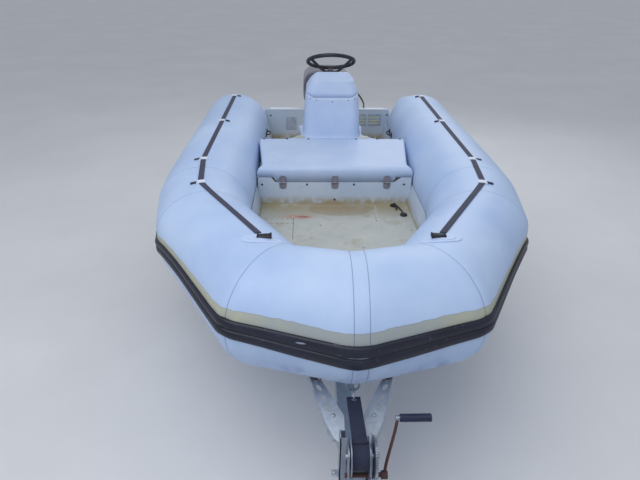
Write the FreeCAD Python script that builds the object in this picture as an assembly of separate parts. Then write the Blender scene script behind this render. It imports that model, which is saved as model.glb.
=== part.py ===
import FreeCAD, Part
import math
import os
from FreeCAD import Vector, Rotation, Placement

# Inflatable boat with a rigid V hull, on the road trailer it is kept on.
# All sizes are in millimetres. Stations along the boat are measured forward from the
# outer face of the transom, y is to port, and heights are measured from the ground.
# At export everything moves by SHIFT, so the finished part is centred over its origin.

os.makedirs("parts", exist_ok=True)

# Buoyancy tube
TUBE_R = 233.0
TUBE_Z = 850.0
TUBE_STERN = 190.0
CONE_LENGTH = 560.0
CONE_TIP_R = 92.0
CONE_CAP = 26.0
# station and half breadth of the tube's centre line at each mitred seam, stern to bow
TUBE_SEAMS = ((1753.0, 685.0), (2067.0, 631.0), (2620.0, 313.0), (2692.0, 0.0))
TUBE_Y = TUBE_SEAMS[0][1]

# Rubbing strake, as angles round the tube
STRAKE_LOW = -6.8
STRAKE_HIGH = 13.3
STRAKE_PROUD = 11.0
STRAKE_RIBS = 2
STRAKE_STERN = 40.0

# Webbing lifeline, glued along the top of the tube
WEB_WIDTH = 25.0
WEB_THICK = 3.0
WEB_START = 215.0
WEB_END = 520.0
WEB_PATCHES = (240.0, 915.0, 1620.0)
PATCH_LENGTH = 35.0
PATCH_WIDTH = 42.0
LOOP_R = 30.0
GRAB_XS = (395.0, 700.0)
GRAB_HALF = 45.0
GRAB_REACH = 30.0
LOOP_BAR_R = 5.0

# Rigid hull and its deck
KEEL_Z = 420.0
CHINE_Y = 575.0
CHINE_Z = 635.0
FLOOR_Z = 705.0
FLOOR_THICK = 6.0
FLOOR_INSET = 27.0
FLOOR_OFFSET = TUBE_R + FLOOR_INSET
LINER_TOP = 815.0
LINER_TOP_OFFSET = TUBE_R + 0.5
LINER_FOOT_CLEAR = 2.6
# station, keel height, chine half breadth, chine height, deck half breadth
HULL_STATIONS = (
    (0.0, KEEL_Z, CHINE_Y, CHINE_Z, 500.0),
    (1750.0, KEEL_Z, CHINE_Y, CHINE_Z, 500.0),
    (2150.0, 462.0, 480.0, 655.0, 425.0),
    (2430.0, 535.0, 270.0, 670.0, 240.0),
    (2590.0, 618.0, 60.0, 662.0, 50.0),
)

# Transom
TRANSOM_THICK = 40.0
TRANSOM_Z = 935.0
TRANSOM_Y = TUBE_Y - TUBE_R + 34.0
TRANSOM_CORNER = 22.0
WELL_Y = 175.0
WELL_Z = 800.0

# Locker, and the moulded seat and console that hinges on its front
WALL = 6.0
SEAM_GAP = 2.0
LOCKER_FRONT = 1340.0
LOCKER_Y = TUBE_Y - TUBE_R - 6.0
DRAIN_X = LOCKER_FRONT + 43.0
DRAIN_Y = TUBE_Y - FLOOR_OFFSET - 81.0
DRAIN_TAIL_R = 5.0
SEAT_SEAM_Z = 866.0
FLAP_SEAM_Z = 836.0
FLAP_Y = 333.0
FLAP_JOG = 10.0
SEAT_LIP_Z = 926.0
SEAT_RIDGE = 910.0
SEAT_RIDGE_Z = 965.0
LOCKER_BACK = SEAT_RIDGE - 10.0
SHELF_Z = 962.0
SHELF_BACK = SEAT_RIDGE - 90.0
SHELF_Y = 296.0
RECESS_R = 38.0
RECESS_DEPTH = 12.0
RECESS_Y = 205.0
POD_Y = 182.0
POD_SHOULDER_Y = 160.0
POD_SHOULDER_Z = 1210.0
POD_TOP_Z = 1350.0
HOOD_CROWN_Y = 64.0
HOOD_CROWN_DROP = 12.0
HOOD_SIDE_IN = 30.0
HOOD_SIDE_DROP = 58.0
HOOD_FRONT_IN = 26.0
HOOD_FRONT_DROP = 46.0
POD_FRONT = SEAT_RIDGE - 20.0
POD_SHOULDER_FRONT = POD_FRONT - 38.0
POD_CREST = POD_FRONT - 128.0
POD_BACK = POD_FRONT - 300.0
DASH_BACK = POD_BACK - 38.0
DASH_BACK_Z = 1246.0
HOOD_SEAM_Z = 1207.0

# Control lever box on the console's back, to starboard of the steering wheel
LEVER_X = DASH_BACK - 18.0
LEVER_Y = -95.0
LEVER_Z = 1105.0
LEVER_BOX_LONG = 60.0
LEVER_BOX_HIGH = 90.0
LEVER_BOX_WIDE = 80.0
LEVER_REACH = 105.0
LEVER_RAKE = 25.0

# Hinges on the locker
HINGE_YS = (-302.0, 0.0, 302.0)
HINGE_LENGTH = 40.0
HINGE_HEIGHT = 80.0
HINGE_CHAMFER = 9.0
HINGE_LEAF = 3.0
KNUCKLE_R = 5.0
KNUCKLE_GAP = 0.5
KNUCKLE_WEB = 12.0
HINGE_PIN_R = 2.5
HINGE_OUT = 6.0
SMALL_RUN = 0.05

# Steering wheel and helm
HELM_X = DASH_BACK - 2.0
HELM_Z = 1380.0
HELM_TILT = 65.5
WHEEL_R = 165.0
WHEEL_RIM_R = 14.0
HUB_R = 34.0
HUB_HEIGHT = 26.0
SPOKE_ANGLES = (62.0, 180.0, 298.0)
COLUMN_R = 21.0

# Outboard motor
TILT_X = -40.0
TILT_Z = 815.0
TILT_TUBE_R = 13.0
TILT_TUBE_Y = 100.0
STEER_X = -95.0
SWIVEL_R = 32.0
SWIVEL_LOW = 560.0
SWIVEL_HIGH = 885.0
SWIVEL_Y = 62.0
CLAMP_PLATE = 16.0
CLAMP_Y = 70.0
PAN_Y = 110.0
PAN_LOW = 912.0
PAN_FRONT = -38.0
PAN_BACK = -430.0
COWL_FRONT = -45.0
COWL_BACK = -545.0
COWL_LOW = 966.0
COWL_TOP = 1235.0
COWL_Y = 186.0
# height, then set in from the back, from the front and from each side, front and back corner radius
COWL_SECTIONS = (
    (COWL_LOW, 8.0, 0.0, 8.0, 96.0, 110.0),
    (COWL_LOW + 60.0, 0.0, 0.0, 0.0, 100.0, 120.0),
    (COWL_TOP - 110.0, 0.0, 5.0, 4.0, 100.0, 120.0),
    (COWL_TOP - 45.0, 25.0, 27.0, 30.0, 92.0, 110.0),
    (COWL_TOP - 13.0, 77.0, 67.0, 70.0, 76.0, 86.0),
    (COWL_TOP, 145.0, 125.0, 116.0, 50.0, 56.0),
)
LEG_FRONT = -136.0
LEG_BACK = -262.0
LEG_Y = 36.0
PLATE_Z = 419.0
PLATE_THICK = 7.0
PROP_Z = 254.0
GEARCASE_R = 44.0
SKEG_Z = 104.0
PROP_R = 128.0
PROP_HUB_R = 34.0
PROP_FRONT = -322.0
PROP_BACK = -402.0
PROP_BLADES = 3

# Steering cable from the console to the tilt tube, a push-pull cable in a black jacket
CABLE_DIAMETER = 12.0
CABLE_GLAND_R = 11.0
CABLE_ROUTE = (
    (545.0, 105.0, 1150.0), (460.0, 108.0, 1160.0), (370.0, 128.0, 1165.0), (285.0, 168.0, 1148.0),
    (205.0, 212.0, 1102.0), (130.0, 250.0, 1045.0), (55.0, 278.0, 992.0), (-20.0, 292.0, 950.0),
    (-75.0, 292.0, 905.0), (-100.0, 272.0, 850.0), (-88.0, 222.0, 815.0), (-60.0, 168.0, 812.0),
    (-42.0, 112.0, 815.0),
)

# Trailer
SPINE_TOP = 335.0
SPINE_SIZE = 80.0
SPINE_BACK = 120.0
SPINE_FRONT = 3640.0
BEAM_SIZE = 60.0
BEAM_END = 580.0
AXLE_X = 1000.0
AXLE_Z = 250.0
ARM_LENGTH = 140.0
ARM_THICK = 30.0
STUB_R = 15.0
WHEEL_Y = 720.0
TYRE_R = 250.0
TYRE_HALF = 73.0
RIM_R = 128.0
RIM_HALF = 58.0
WHEEL_HUB_R = 42.0
GUARD_GAP = 34.0
GUARD_THICK = 3.0
GUARD_SIDE_GAP = 22.0
GUARD_IN = WHEEL_Y - TYRE_HALF - GUARD_SIDE_GAP
GUARD_OUT = WHEEL_Y + TYRE_HALF + GUARD_SIDE_GAP
GUARD_LIP = 26.0
GUARD_BAR = 28.0
ROLLER_XS = (220.0, 1300.0, 1700.0)
ROLLER_WAIST = 27.0
ROLLER_HALF = 55.0
ROLLER_PIN = 8.0
BUNK_Y = 330.0
BUNK_WIDTH = 90.0
BUNK_THICK = 35.0
BUNK_BACK = 470.0
BUNK_FRONT = 1720.0
CROSS_XS = (600.0, 1560.0)
CROSS_SIZE = 50.0
CROSS_END = 400.0
POST_SIZE = 40.0
SEAT_CLEAR = 0.3

# Winch post, winch and bow support
WINCH_POST_X = 3012.0
WINCH_POST_SIZE = 60.0
WINCH_POST_Z = 470.0
WINCH_X = 3100.0
WINCH_Z = 586.0
DRUM_R = 46.0
DRUM_HALF = 27.0
FLANGE_R = 62.0
FRAME_Y = 34.0
FRAME_THICK = 4.0
GEAR_R = 71.0
PINION_R = 14.0
GEAR_MESH = 87.0
GEAR_THICK = 8.0
CRANK_LENGTH = 207.0
CRANK_LEAN = 104.0
CRANK_Y = 100.0
GRIP_R = 14.0
GRIP_LENGTH = 115.0
BOW_RING_ANGLE = 60.0

# Coupling and jockey wheel
COUPLING_FRONT = 3800.0
BALL_R = 25.25
JOCKEY_BACK = 240.0
JOCKEY_X = SPINE_FRONT - JOCKEY_BACK
JOCKEY_Y = -76.0
JOCKEY_TUBE_R = 24.0
JOCKEY_LEG_R = 20.0
JOCKEY_R = 100.0
JOCKEY_HALF = 30.0
JOCKEY_TRAIL = 45.0
JOCKEY_TUBE_LOW = 236.0
JOCKEY_TUBE_LONG = 340.0
JOCKEY_HANDLE = 90.0
JOCKEY_KNOB = 56.0
FORK_Z = 2 * JOCKEY_R + 12.0

REAR_END = COWL_BACK
FRONT_END = COUPLING_FRONT
SHIFT = Vector(-(FRONT_END + REAR_END) / 2, 0, 0)
BIG = 6000.0


def save(name, *shapes):
    """Write one node: its solids, moved so that the part is centred over its origin."""
    solids = []
    for shape in shapes:
        solids.extend(shape.Solids)
    node = solids[0] if len(solids) == 1 else Part.makeCompound(solids)
    node.translate(SHIFT)
    node.exportStep("parts/" + name + ".step")
    print(name, len(solids), "solid(s), litres", round(node.Volume / 1e6, 3))


def box(x0, x1, y0, y1, z0, z1):
    return Part.makeBox(x1 - x0, y1 - y0, z1 - z0, Vector(x0, y0, z0))


def rod(start, end, radius):
    """A round bar from one point to another."""
    a = Vector(*start)
    run = Vector(*end) - a
    return Part.makeCylinder(radius, run.Length, a, run)


def across(x, z, y0, y1, radius):
    """A round bar along y."""
    return Part.makeCylinder(radius, y1 - y0, Vector(x, y0, z), Vector(0, 1, 0))


def wire(points):
    """A closed outline. A point given as (middle, end) makes an arc from the point before."""
    edges = []
    first = points[0]
    last = first
    for item in points[1:]:
        if isinstance(item[0], tuple):
            edges.append(Part.Arc(Vector(*last), Vector(*item[0]), Vector(*item[1])).toShape())
            last = item[1]
        else:
            edges.append(Part.makeLine(Vector(*last), Vector(*item)))
            last = item
    if (Vector(*last) - Vector(*first)).Length > 1e-6:
        edges.append(Part.makeLine(Vector(*last), Vector(*first)))
    return Part.Wire(edges)


def place(points, to_space):
    """Map an outline's two-number points, arcs included, into space."""
    out = []
    for item in points:
        if isinstance(item[0], tuple):
            out.append((to_space(*item[0]), to_space(*item[1])))
        else:
            out.append(to_space(*item))
    return out


def plan_prism(points, z0, z1):
    """Outline in (x, y), raised from z0 to z1."""
    face = Part.Face(wire(place(points, lambda x, y: (x, y, z0))))
    return face.extrude(Vector(0, 0, z1 - z0))


def side_prism(points, y0, y1):
    """Outline in (x, z), run across from y0 to y1."""
    face = Part.Face(wire(place(points, lambda x, z: (x, y0, z))))
    return face.extrude(Vector(0, y1 - y0, 0))


def front_prism(points, x0, x1):
    """Outline in (y, z), run along from x0 to x1."""
    face = Part.Face(wire(place(points, lambda y, z: (x0, y, z))))
    return face.extrude(Vector(x1 - x0, 0, 0))


def turned(points, centre, axis):
    """Outline in (distance along the axis, radius), turned about the axis."""
    direction = Vector(*axis)
    base = Vector(*centre)
    side = Vector(0, 0, 1) if abs(direction.z) < 0.5 else Vector(1, 0, 0)
    face = Part.Face(wire(place(points, lambda a, r: tuple(base + direction * a + side * r))))
    return face.revolve(base, direction, 360)


def mirrored(shape):
    return shape.mirror(Vector(0, 0, 0), Vector(0, 1, 0))


def both_sides(shape):
    return [shape, mirrored(shape)]


def fused(shapes):
    whole = shapes[0]
    for shape in shapes[1:]:
        whole = whole.fuse(shape)
    return whole.removeSplitter()


def keep(shape, point, normal):
    """The part of a shape that lies on the side of a plane that its normal points to."""
    half = Part.makeBox(BIG, BIG, BIG, Vector(-BIG / 2, -BIG / 2, 0))
    half.Placement = Placement(Vector(*point), Rotation(Vector(0, 0, 1), Vector(*normal)))
    return shape.common(half)


def bar(start, end, width, thick, holes=()):
    """A flat bar between two points. Each hole is (distance along, length, width)."""
    a = Vector(*start)
    run = Vector(*end) - a
    flat = Part.makeBox(run.Length, width, thick, Vector(0, -width / 2, -thick / 2))
    for along, length, wide in holes:
        for end_x in (along - (length - wide) / 2, along + (length - wide) / 2):
            flat = flat.cut(Part.makeCylinder(wide / 2, 3 * thick, Vector(end_x, 0, -1.5 * thick)))
        slot = Part.makeBox(length - wide, wide, 3 * thick,
                            Vector(along - (length - wide) / 2, -wide / 2, -1.5 * thick))
        flat = flat.cut(slot)
    flat.Placement = Placement(a, Rotation(Vector(1, 0, 0), run))
    return flat


# The tube's centre line on the port side, stern to bow, as directions and mitre planes
CORNERS = [Vector(TUBE_STERN, TUBE_Y, TUBE_Z)]
CORNERS += [Vector(x, y, TUBE_Z) for x, y in TUBE_SEAMS]
HEADINGS = []
for before, after in zip(CORNERS, CORNERS[1:]):
    step = after - before
    HEADINGS.append(step / step.Length)
MITRES = [HEADINGS[0]]
for before, after in zip(HEADINGS, HEADINGS[1:]):
    both = before + after
    MITRES.append(both / both.Length)
MITRES.append(Vector(0, -1, 0))


def along_tube(index, outline, start=None, stop=None):
    """Run an outline of (outboard offset, height above the tube's centre) along one panel."""
    heading = HEADINGS[index]
    outboard = Vector(-heading.y, heading.x, 0)
    first = CORNERS[index]
    over = 0.0 if start is not None else 500.0
    begin = first - heading * over if start is None else first + heading * start
    length = (CORNERS[index + 1] - begin).Length + 500.0
    if stop is not None:
        length = stop - (start or 0.0) + over
    points = place(outline, lambda o, h: tuple(begin + outboard * o + Vector(0, 0, h)))
    run = Part.Face(wire(points)).extrude(heading * length)
    if start is None:
        run = keep(run, first, MITRES[index])
    if stop is None:
        run = keep(run, CORNERS[index + 1], MITRES[index + 1] * -1)
    return run


def inset_line(offset):
    """Corners of a line parallel to the tube's centre line, inboard of it by offset."""
    points = []
    for corner, heading, mitre in zip(CORNERS[1:], HEADINGS, MITRES[1:]):
        inboard = Vector(heading.y, -heading.x, 0)
        across_mitre = Vector(mitre.y, -mitre.x, 0)
        points.append(corner + across_mitre * (offset / inboard.dot(across_mitre)))
    return points


def ring_band(inner, outer, low, high):
    """Outline of a band round the tube between two radii and two angles in degrees."""
    def at(radius, angle):
        a = math.radians(angle)
        return (radius * math.cos(a), radius * math.sin(a))
    middle = (low + high) / 2
    return [at(inner, low), at(outer, low), (at(outer, middle), at(outer, high)),
            at(inner, high), (at(inner, middle), at(inner, low))]


def tube_circle():
    return [(TUBE_R, 0.0), ((0.0, TUBE_R), (-TUBE_R, 0.0)), ((0.0, -TUBE_R), (TUBE_R, 0.0))]


# Buoyancy tube, panel by panel
def stern_panel():
    tip = -CONE_LENGTH
    profile = [(tip - CONE_CAP, 0.0), (tip - CONE_CAP, CONE_TIP_R * 0.6),
               ((tip - CONE_CAP * 0.7, CONE_TIP_R * 0.86), (tip, CONE_TIP_R)),
               (0.0, TUBE_R), (TUBE_SEAMS[0][0] + 200.0, TUBE_R), (TUBE_SEAMS[0][0] + 200.0, 0.0)]
    whole = turned(profile, CORNERS[0], (1, 0, 0))
    return keep(whole, CORNERS[1], MITRES[1] * -1)


STERN = stern_panel()
SHOULDER = along_tube(1, tube_circle())
DIAGONAL = along_tube(2, tube_circle())
BOW = along_tube(3, tube_circle())
TUBES = [STERN, SHOULDER, DIAGONAL, BOW]


def clear_of_tubes(shape):
    for tube in TUBES:
        shape = shape.cut(tube)
        shape = shape.cut(mirrored(tube))
    return shape


def make_tubes():
    save("tube_stern_panels", *both_sides(STERN))
    save("tube_shoulder_panels", *both_sides(SHOULDER))
    save("tube_bow_quarters", *both_sides(DIAGONAL))
    save("tube_bow_port", BOW)
    save("tube_bow_starboard", mirrored(BOW))


def make_strake():
    ribs = []
    step = (STRAKE_HIGH - STRAKE_LOW) / STRAKE_RIBS
    for index in range(4):
        for rib in range(STRAKE_RIBS):
            low = STRAKE_LOW + rib * step
            band = ring_band(TUBE_R, TUBE_R + STRAKE_PROUD, low + 1.2, low + step - 1.2)
            ribs.append(along_tube(index, band, STRAKE_STERN if index == 0 else None))
        base = ring_band(TUBE_R, TUBE_R + STRAKE_PROUD * 0.5, STRAKE_LOW, STRAKE_HIGH)
        ribs.append(along_tube(index, base, STRAKE_STERN if index == 0 else None))
    port = fused(ribs)
    save("rubbing_strake", port.fuse(mirrored(port)).removeSplitter())


def web_angle(width):
    return math.degrees(width / 2 / TUBE_R)


def web_band(width, inner, thick):
    half = web_angle(width)
    return ring_band(TUBE_R + inner, TUBE_R + inner + thick, 90.0 - half, 90.0 + half)


def make_lifelines():
    band = web_band(WEB_WIDTH, 0.0, WEB_THICK)
    first = along_tube(0, band, WEB_START - TUBE_STERN)
    second = along_tube(1, band)
    third = along_tube(2, band, None, WEB_END)
    patches = []
    wide = web_band(PATCH_WIDTH, 0.0, WEB_THICK * 0.6)
    for x in WEB_PATCHES:
        patches.append(along_tube(0, wide, x - TUBE_STERN - PATCH_LENGTH / 2,
                                  x - TUBE_STERN + PATCH_LENGTH / 2))
    patches.append(along_tube(2, wide, WEB_END - PATCH_LENGTH, WEB_END + PATCH_LENGTH * 0.6))
    line = fused([first, second, third] + patches)
    save("lifeline_webbing", *both_sides(line))


def make_handles():
    heading = HEADINGS[2]
    outboard = Vector(-heading.y, heading.x, 0)
    top = CORNERS[2] + heading * (WEB_END + 14.0) + Vector(0, 0, TUBE_R + WEB_THICK * 0.6)
    block_half = Vector(12.0, LOOP_R, 5.0)
    block = Part.makeBox(2 * block_half.x, 2 * block_half.y, 2 * block_half.z,
                         Vector(-block_half.x, -block_half.y, 0))
    block.Placement = Placement(top, Rotation(Vector(0, 1, 0), outboard))
    grab = []
    for x in GRAB_XS:
        inner = TUBE_Y - TUBE_R - GRAB_REACH
        pieces = [rod((x - GRAB_HALF, inner, TUBE_Z), (x + GRAB_HALF, inner, TUBE_Z), LOOP_BAR_R)]
        for end in (x - GRAB_HALF, x + GRAB_HALF):
            pieces.append(Part.makeSphere(LOOP_BAR_R, Vector(end, inner, TUBE_Z)))
            pieces.append(rod((end, inner, TUBE_Z), (end, TUBE_Y, TUBE_Z), LOOP_BAR_R).cut(STERN))
            pad = Part.makeCylinder(20.0, 60.0, Vector(end, TUBE_Y - TUBE_R - 4.0, TUBE_Z), Vector(0, 1, 0))
            pieces.append(pad.cut(STERN))
        grab.append(fused(pieces))
    save("grab_handles", *both_sides(block), *[s for g in grab for s in both_sides(g)])


# Rigid hull
def make_hull():
    sections = []
    for x, keel, chine_y, chine_z, deck_y in HULL_STATIONS:
        deck = FLOOR_Z - FLOOR_THICK
        ring = [(x, 0.0, keel), (x, chine_y, chine_z), (x, deck_y, deck),
                (x, -deck_y, deck), (x, -chine_y, chine_z)]
        sections.append(wire(ring))
    hull = Part.makeLoft(sections, True, True)
    save("hull", clear_of_tubes(hull))


def make_floor():
    edge = inset_line(FLOOR_OFFSET)
    side = [(p.x, p.y) for p in edge]
    plan = [(TRANSOM_THICK, side[0][1])] + side
    plan += [(x, -y) for x, y in reversed(side[:-1])] + [(TRANSOM_THICK, -side[0][1])]
    floor = plan_prism(plan, FLOOR_Z - FLOOR_THICK, FLOOR_Z)
    save("floor_deck", floor)
    low = FLOOR_Z - FLOOR_THICK - TUBE_Z
    foot = math.sqrt(TUBE_R ** 2 - low ** 2) + LINER_FOOT_CLEAR
    wedge = [(-FLOOR_OFFSET, low), (-LINER_TOP_OFFSET, LINER_TOP - TUBE_Z),
             (-TUBE_R * 0.93, LINER_TOP - TUBE_Z), (-foot, low)]
    pieces = []
    for index in range(4):
        start = TRANSOM_THICK - TUBE_STERN if index == 0 else None
        pieces.append(along_tube(index, wedge, start).cut(TUBES[index]))
    straight = pieces[0].fuse(mirrored(pieces[0]))
    save("liner_sides", straight.copy())
    port = fused(pieces[1:])
    save("liner_bow", port.fuse(mirrored(port)).removeSplitter())
    return straight


def make_transom():
    top = [(-TRANSOM_Y, FLOOR_Z - FLOOR_THICK), (-TRANSOM_Y, TRANSOM_Z - TRANSOM_CORNER)]
    k = TRANSOM_CORNER * (1 - math.sqrt(0.5))
    top.append(((-TRANSOM_Y + k, TRANSOM_Z - k), (-TRANSOM_Y + TRANSOM_CORNER, TRANSOM_Z)))
    top += [(-WELL_Y, TRANSOM_Z), (-WELL_Y + 12.0, WELL_Z), (WELL_Y - 12.0, WELL_Z),
            (WELL_Y, TRANSOM_Z), (TRANSOM_Y - TRANSOM_CORNER, TRANSOM_Z),
            ((TRANSOM_Y - k, TRANSOM_Z - k), (TRANSOM_Y, TRANSOM_Z - TRANSOM_CORNER)),
            (TRANSOM_Y, FLOOR_Z - FLOOR_THICK)]
    board = front_prism(top, 0.0, TRANSOM_THICK)
    save("transom", clear_of_tubes(board))


# Locker with its hinged seat and console
def locker_plan(t):
    """Plan outline of the locker, drawn in by t."""
    half = [(LOCKER_FRONT - t, LOCKER_Y - t), (LOCKER_BACK + t, LOCKER_Y - t),
            (LOCKER_BACK + t, SHELF_Y - t), (SHELF_BACK + t, POD_Y + 8.0 - t),
            (POD_BACK + t, POD_Y + 8.0 - t)]
    return half + [(x, -y) for x, y in reversed(half)]


def flap_outline(low, spread):
    """The dropped middle of the seam, seen from the front."""
    y = FLAP_Y + spread
    return [(-y - FLAP_JOG, SEAT_SEAM_Z + 60.0), (-y - FLAP_JOG, SEAT_SEAM_Z), (-y, low),
            (y, low), (y + FLAP_JOG, SEAT_SEAM_Z), (y + FLAP_JOG, SEAT_SEAM_Z + 60.0)]


def make_locker(liner):
    top = SEAT_SEAM_Z
    walls = plan_prism(locker_plan(0.0), FLOOR_Z, top)
    walls = walls.cut(plan_prism(locker_plan(WALL), FLOOR_Z - 1.0, top + 1.0))
    notch = front_prism(flap_outline(FLAP_SEAM_Z, 0.0), LOCKER_FRONT - 2 * WALL, LOCKER_FRONT + 1.0)
    save("locker_box", walls.cut(notch).cut(liner))


def seat_block(t):
    seam = SEAT_SEAM_Z + SEAM_GAP
    low = seam if t == 0 else FLOOR_Z
    front = LOCKER_FRONT - t
    top = SEAT_LIP_Z - t
    side = [(front, low), (front, top - 18.0), ((front - 6.0, top - 5.0), (front - 22.0, top)),
            (SEAT_RIDGE, SEAT_RIDGE_Z - t), (SHELF_BACK - 50.0, SEAT_RIDGE_Z - t),
            (SHELF_BACK - 50.0, low)]
    bench = side_prism(side, -LOCKER_Y, LOCKER_Y)
    whole = bench.common(plan_prism(locker_plan(t), low - 1.0, SEAT_RIDGE_Z + 50.0))
    shelf_cut = box(POD_BACK - 100.0, SEAT_RIDGE - 4.0 + t, -LOCKER_Y, LOCKER_Y, SHELF_Z - t, BIG)
    return whole.cut(shelf_cut)


def pod_block(t):
    low = SEAT_SEAM_Z + SEAM_GAP if t == 0 else FLOOR_Z
    side_w = POD_Y - t
    mid_w = POD_SHOULDER_Y - t
    top = POD_TOP_Z - t
    outline = [(-side_w, low), (-mid_w, POD_SHOULDER_Z),
               ((-mid_w + HOOD_SIDE_IN, top - HOOD_SIDE_DROP), (-HOOD_CROWN_Y, top - HOOD_CROWN_DROP)),
               ((0.0, top), (HOOD_CROWN_Y, top - HOOD_CROWN_DROP)),
               ((mid_w - HOOD_SIDE_IN, top - HOOD_SIDE_DROP), (mid_w, POD_SHOULDER_Z)), (side_w, low)]
    profile = [(POD_FRONT - t, low), (POD_SHOULDER_FRONT - t, POD_SHOULDER_Z),
               ((POD_SHOULDER_FRONT - HOOD_FRONT_IN - t, top - HOOD_FRONT_DROP), (POD_CREST, top)),
               (DASH_BACK + t, DASH_BACK_Z - t), (POD_BACK + t, low)]
    return front_prism(outline, POD_BACK - 100.0, POD_FRONT + 10.0).common(
        side_prism(profile, -POD_Y - 10.0, POD_Y + 10.0))


def make_seat_and_console():
    outer = seat_block(0.0).fuse(pod_block(0.0))
    inner = seat_block(WALL).fuse(pod_block(WALL))
    shell = outer.cut(inner)
    flap_band = box(LOCKER_FRONT - WALL, LOCKER_FRONT, -FLAP_Y, FLAP_Y,
                    FLAP_SEAM_Z + SEAM_GAP, SEAT_SEAM_Z + SEAM_GAP)
    shell = shell.fuse(flap_band).removeSplitter()
    for side in (-1, 1):
        ring = Part.makeCylinder(RECESS_R + WALL, RECESS_DEPTH + WALL,
                                 Vector((SEAT_RIDGE + SHELF_BACK) / 2, side * RECESS_Y,
                                        SHELF_Z - RECESS_DEPTH - WALL))
        ring = ring.common(outer)
        hole = Part.makeCylinder(RECESS_R, RECESS_DEPTH + 1.0,
                                 Vector((SEAT_RIDGE + SHELF_BACK) / 2, side * RECESS_Y,
                                        SHELF_Z - RECESS_DEPTH))
        hole = hole.cut(pod_block(0.0))
        shell = shell.fuse(ring).cut(hole)
    base = keep(shell, (0, 0, HOOD_SEAM_Z), (0, 0, -1))
    hood = keep(shell, (0, 0, HOOD_SEAM_Z), (0, 0, 1))
    over_shelf = box(DASH_BACK - 50.0, SEAT_RIDGE - 4.0, -LOCKER_Y, LOCKER_Y, SHELF_Z, POD_TOP_Z)
    save("seat_moulding", base.cut(over_shelf))
    save("console_moulding", base.common(over_shelf))
    save("console_hood", hood)


HELM_AXIS = Vector(-math.cos(math.radians(HELM_TILT)), 0, math.sin(math.radians(HELM_TILT)))
HELM_CENTRE = Vector(HELM_X, 0, HELM_Z)
DASH_SLOPE = (POD_TOP_Z - DASH_BACK_Z) / (POD_CREST - DASH_BACK)


def dash_distance():
    """How far the steering wheel's centre stands from the dash, along the column."""
    at_wheel = DASH_BACK_Z + DASH_SLOPE * (HELM_X - DASH_BACK)
    return (HELM_Z - at_wheel) / (HELM_AXIS.z - DASH_SLOPE * HELM_AXIS.x)


def cable_fitting(end, before, length):
    """A round fitting that carries on from a cable's end, in line with its last run."""
    foot = Vector(*end)
    way = foot - Vector(*before)
    way = way / way.Length
    return Part.makeCylinder(CABLE_GLAND_R, length, foot + way * SMALL_RUN, way)


def make_helm():
    length = dash_distance() - HUB_HEIGHT / 2 - SEAT_CLEAR
    foot = HELM_CENTRE - HELM_AXIS * dash_distance()
    column = Part.makeCylinder(COLUMN_R, length, foot, HELM_AXIS)
    collar = Part.makeCone(COLUMN_R + 28.0, COLUMN_R + 8.0, length * 0.45, foot, HELM_AXIS)
    half_wide = LEVER_BOX_WIDE / 2
    half_high = LEVER_BOX_HIGH / 2
    lever_box = box(LEVER_X - LEVER_BOX_LONG / 2, POD_BACK, LEVER_Y - half_wide, LEVER_Y + half_wide,
                    LEVER_Z - half_high, LEVER_Z + half_high)
    lever_box = lever_box.cut(pod_block(0.0))
    top = (LEVER_X - LEVER_RAKE, LEVER_Y, LEVER_Z + half_high + LEVER_REACH)
    lever = rod((LEVER_X, LEVER_Y, LEVER_Z), top, 8.0)
    knob = Part.makeSphere(17.0, Vector(*top) + Vector(-2.0, 0, 10.0))
    helm = fused([column, collar]).cut(pod_block(0.0))
    control = fused([lever_box, lever, knob])
    gland = cable_fitting(CABLE_ROUTE[0], CABLE_ROUTE[1], 60.0).cut(pod_block(0.0))
    save("helm_and_control_lever", helm, control, gland)


def steering_wheel():
    rim = Part.makeTorus(WHEEL_R - WHEEL_RIM_R, WHEEL_RIM_R)
    hub = Part.makeCylinder(HUB_R, HUB_HEIGHT, Vector(0, 0, -HUB_HEIGHT / 2))
    pieces = [rim, hub]
    for angle in SPOKE_ANGLES:
        a = math.radians(angle)
        start = (HUB_R * 0.5 * math.cos(a), HUB_R * 0.5 * math.sin(a), 0.0)
        end = ((WHEEL_R - WHEEL_RIM_R) * math.cos(a), (WHEEL_R - WHEEL_RIM_R) * math.sin(a), 0.0)
        pieces.append(bar(start, end, 28.0, 6.0))
    wheel = fused(pieces)
    wheel.Placement = Placement(HELM_CENTRE, Rotation(Vector(0, 0, 1), HELM_AXIS))
    return wheel


def hinge_leaf(y, root, tip):
    """A flat leaf with two chamfered corners, from its edge beside the pin to its outer edge."""
    half = HINGE_LENGTH / 2
    inner = tip - HINGE_CHAMFER if tip > root else tip + HINGE_CHAMFER
    outline = [(y - half, root), (y - half, inner), (y - half + HINGE_CHAMFER, tip),
               (y + half - HINGE_CHAMFER, tip), (y + half, inner), (y + half, root)]
    return front_prism(outline, LOCKER_FRONT, LOCKER_FRONT + HINGE_LEAF)


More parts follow.
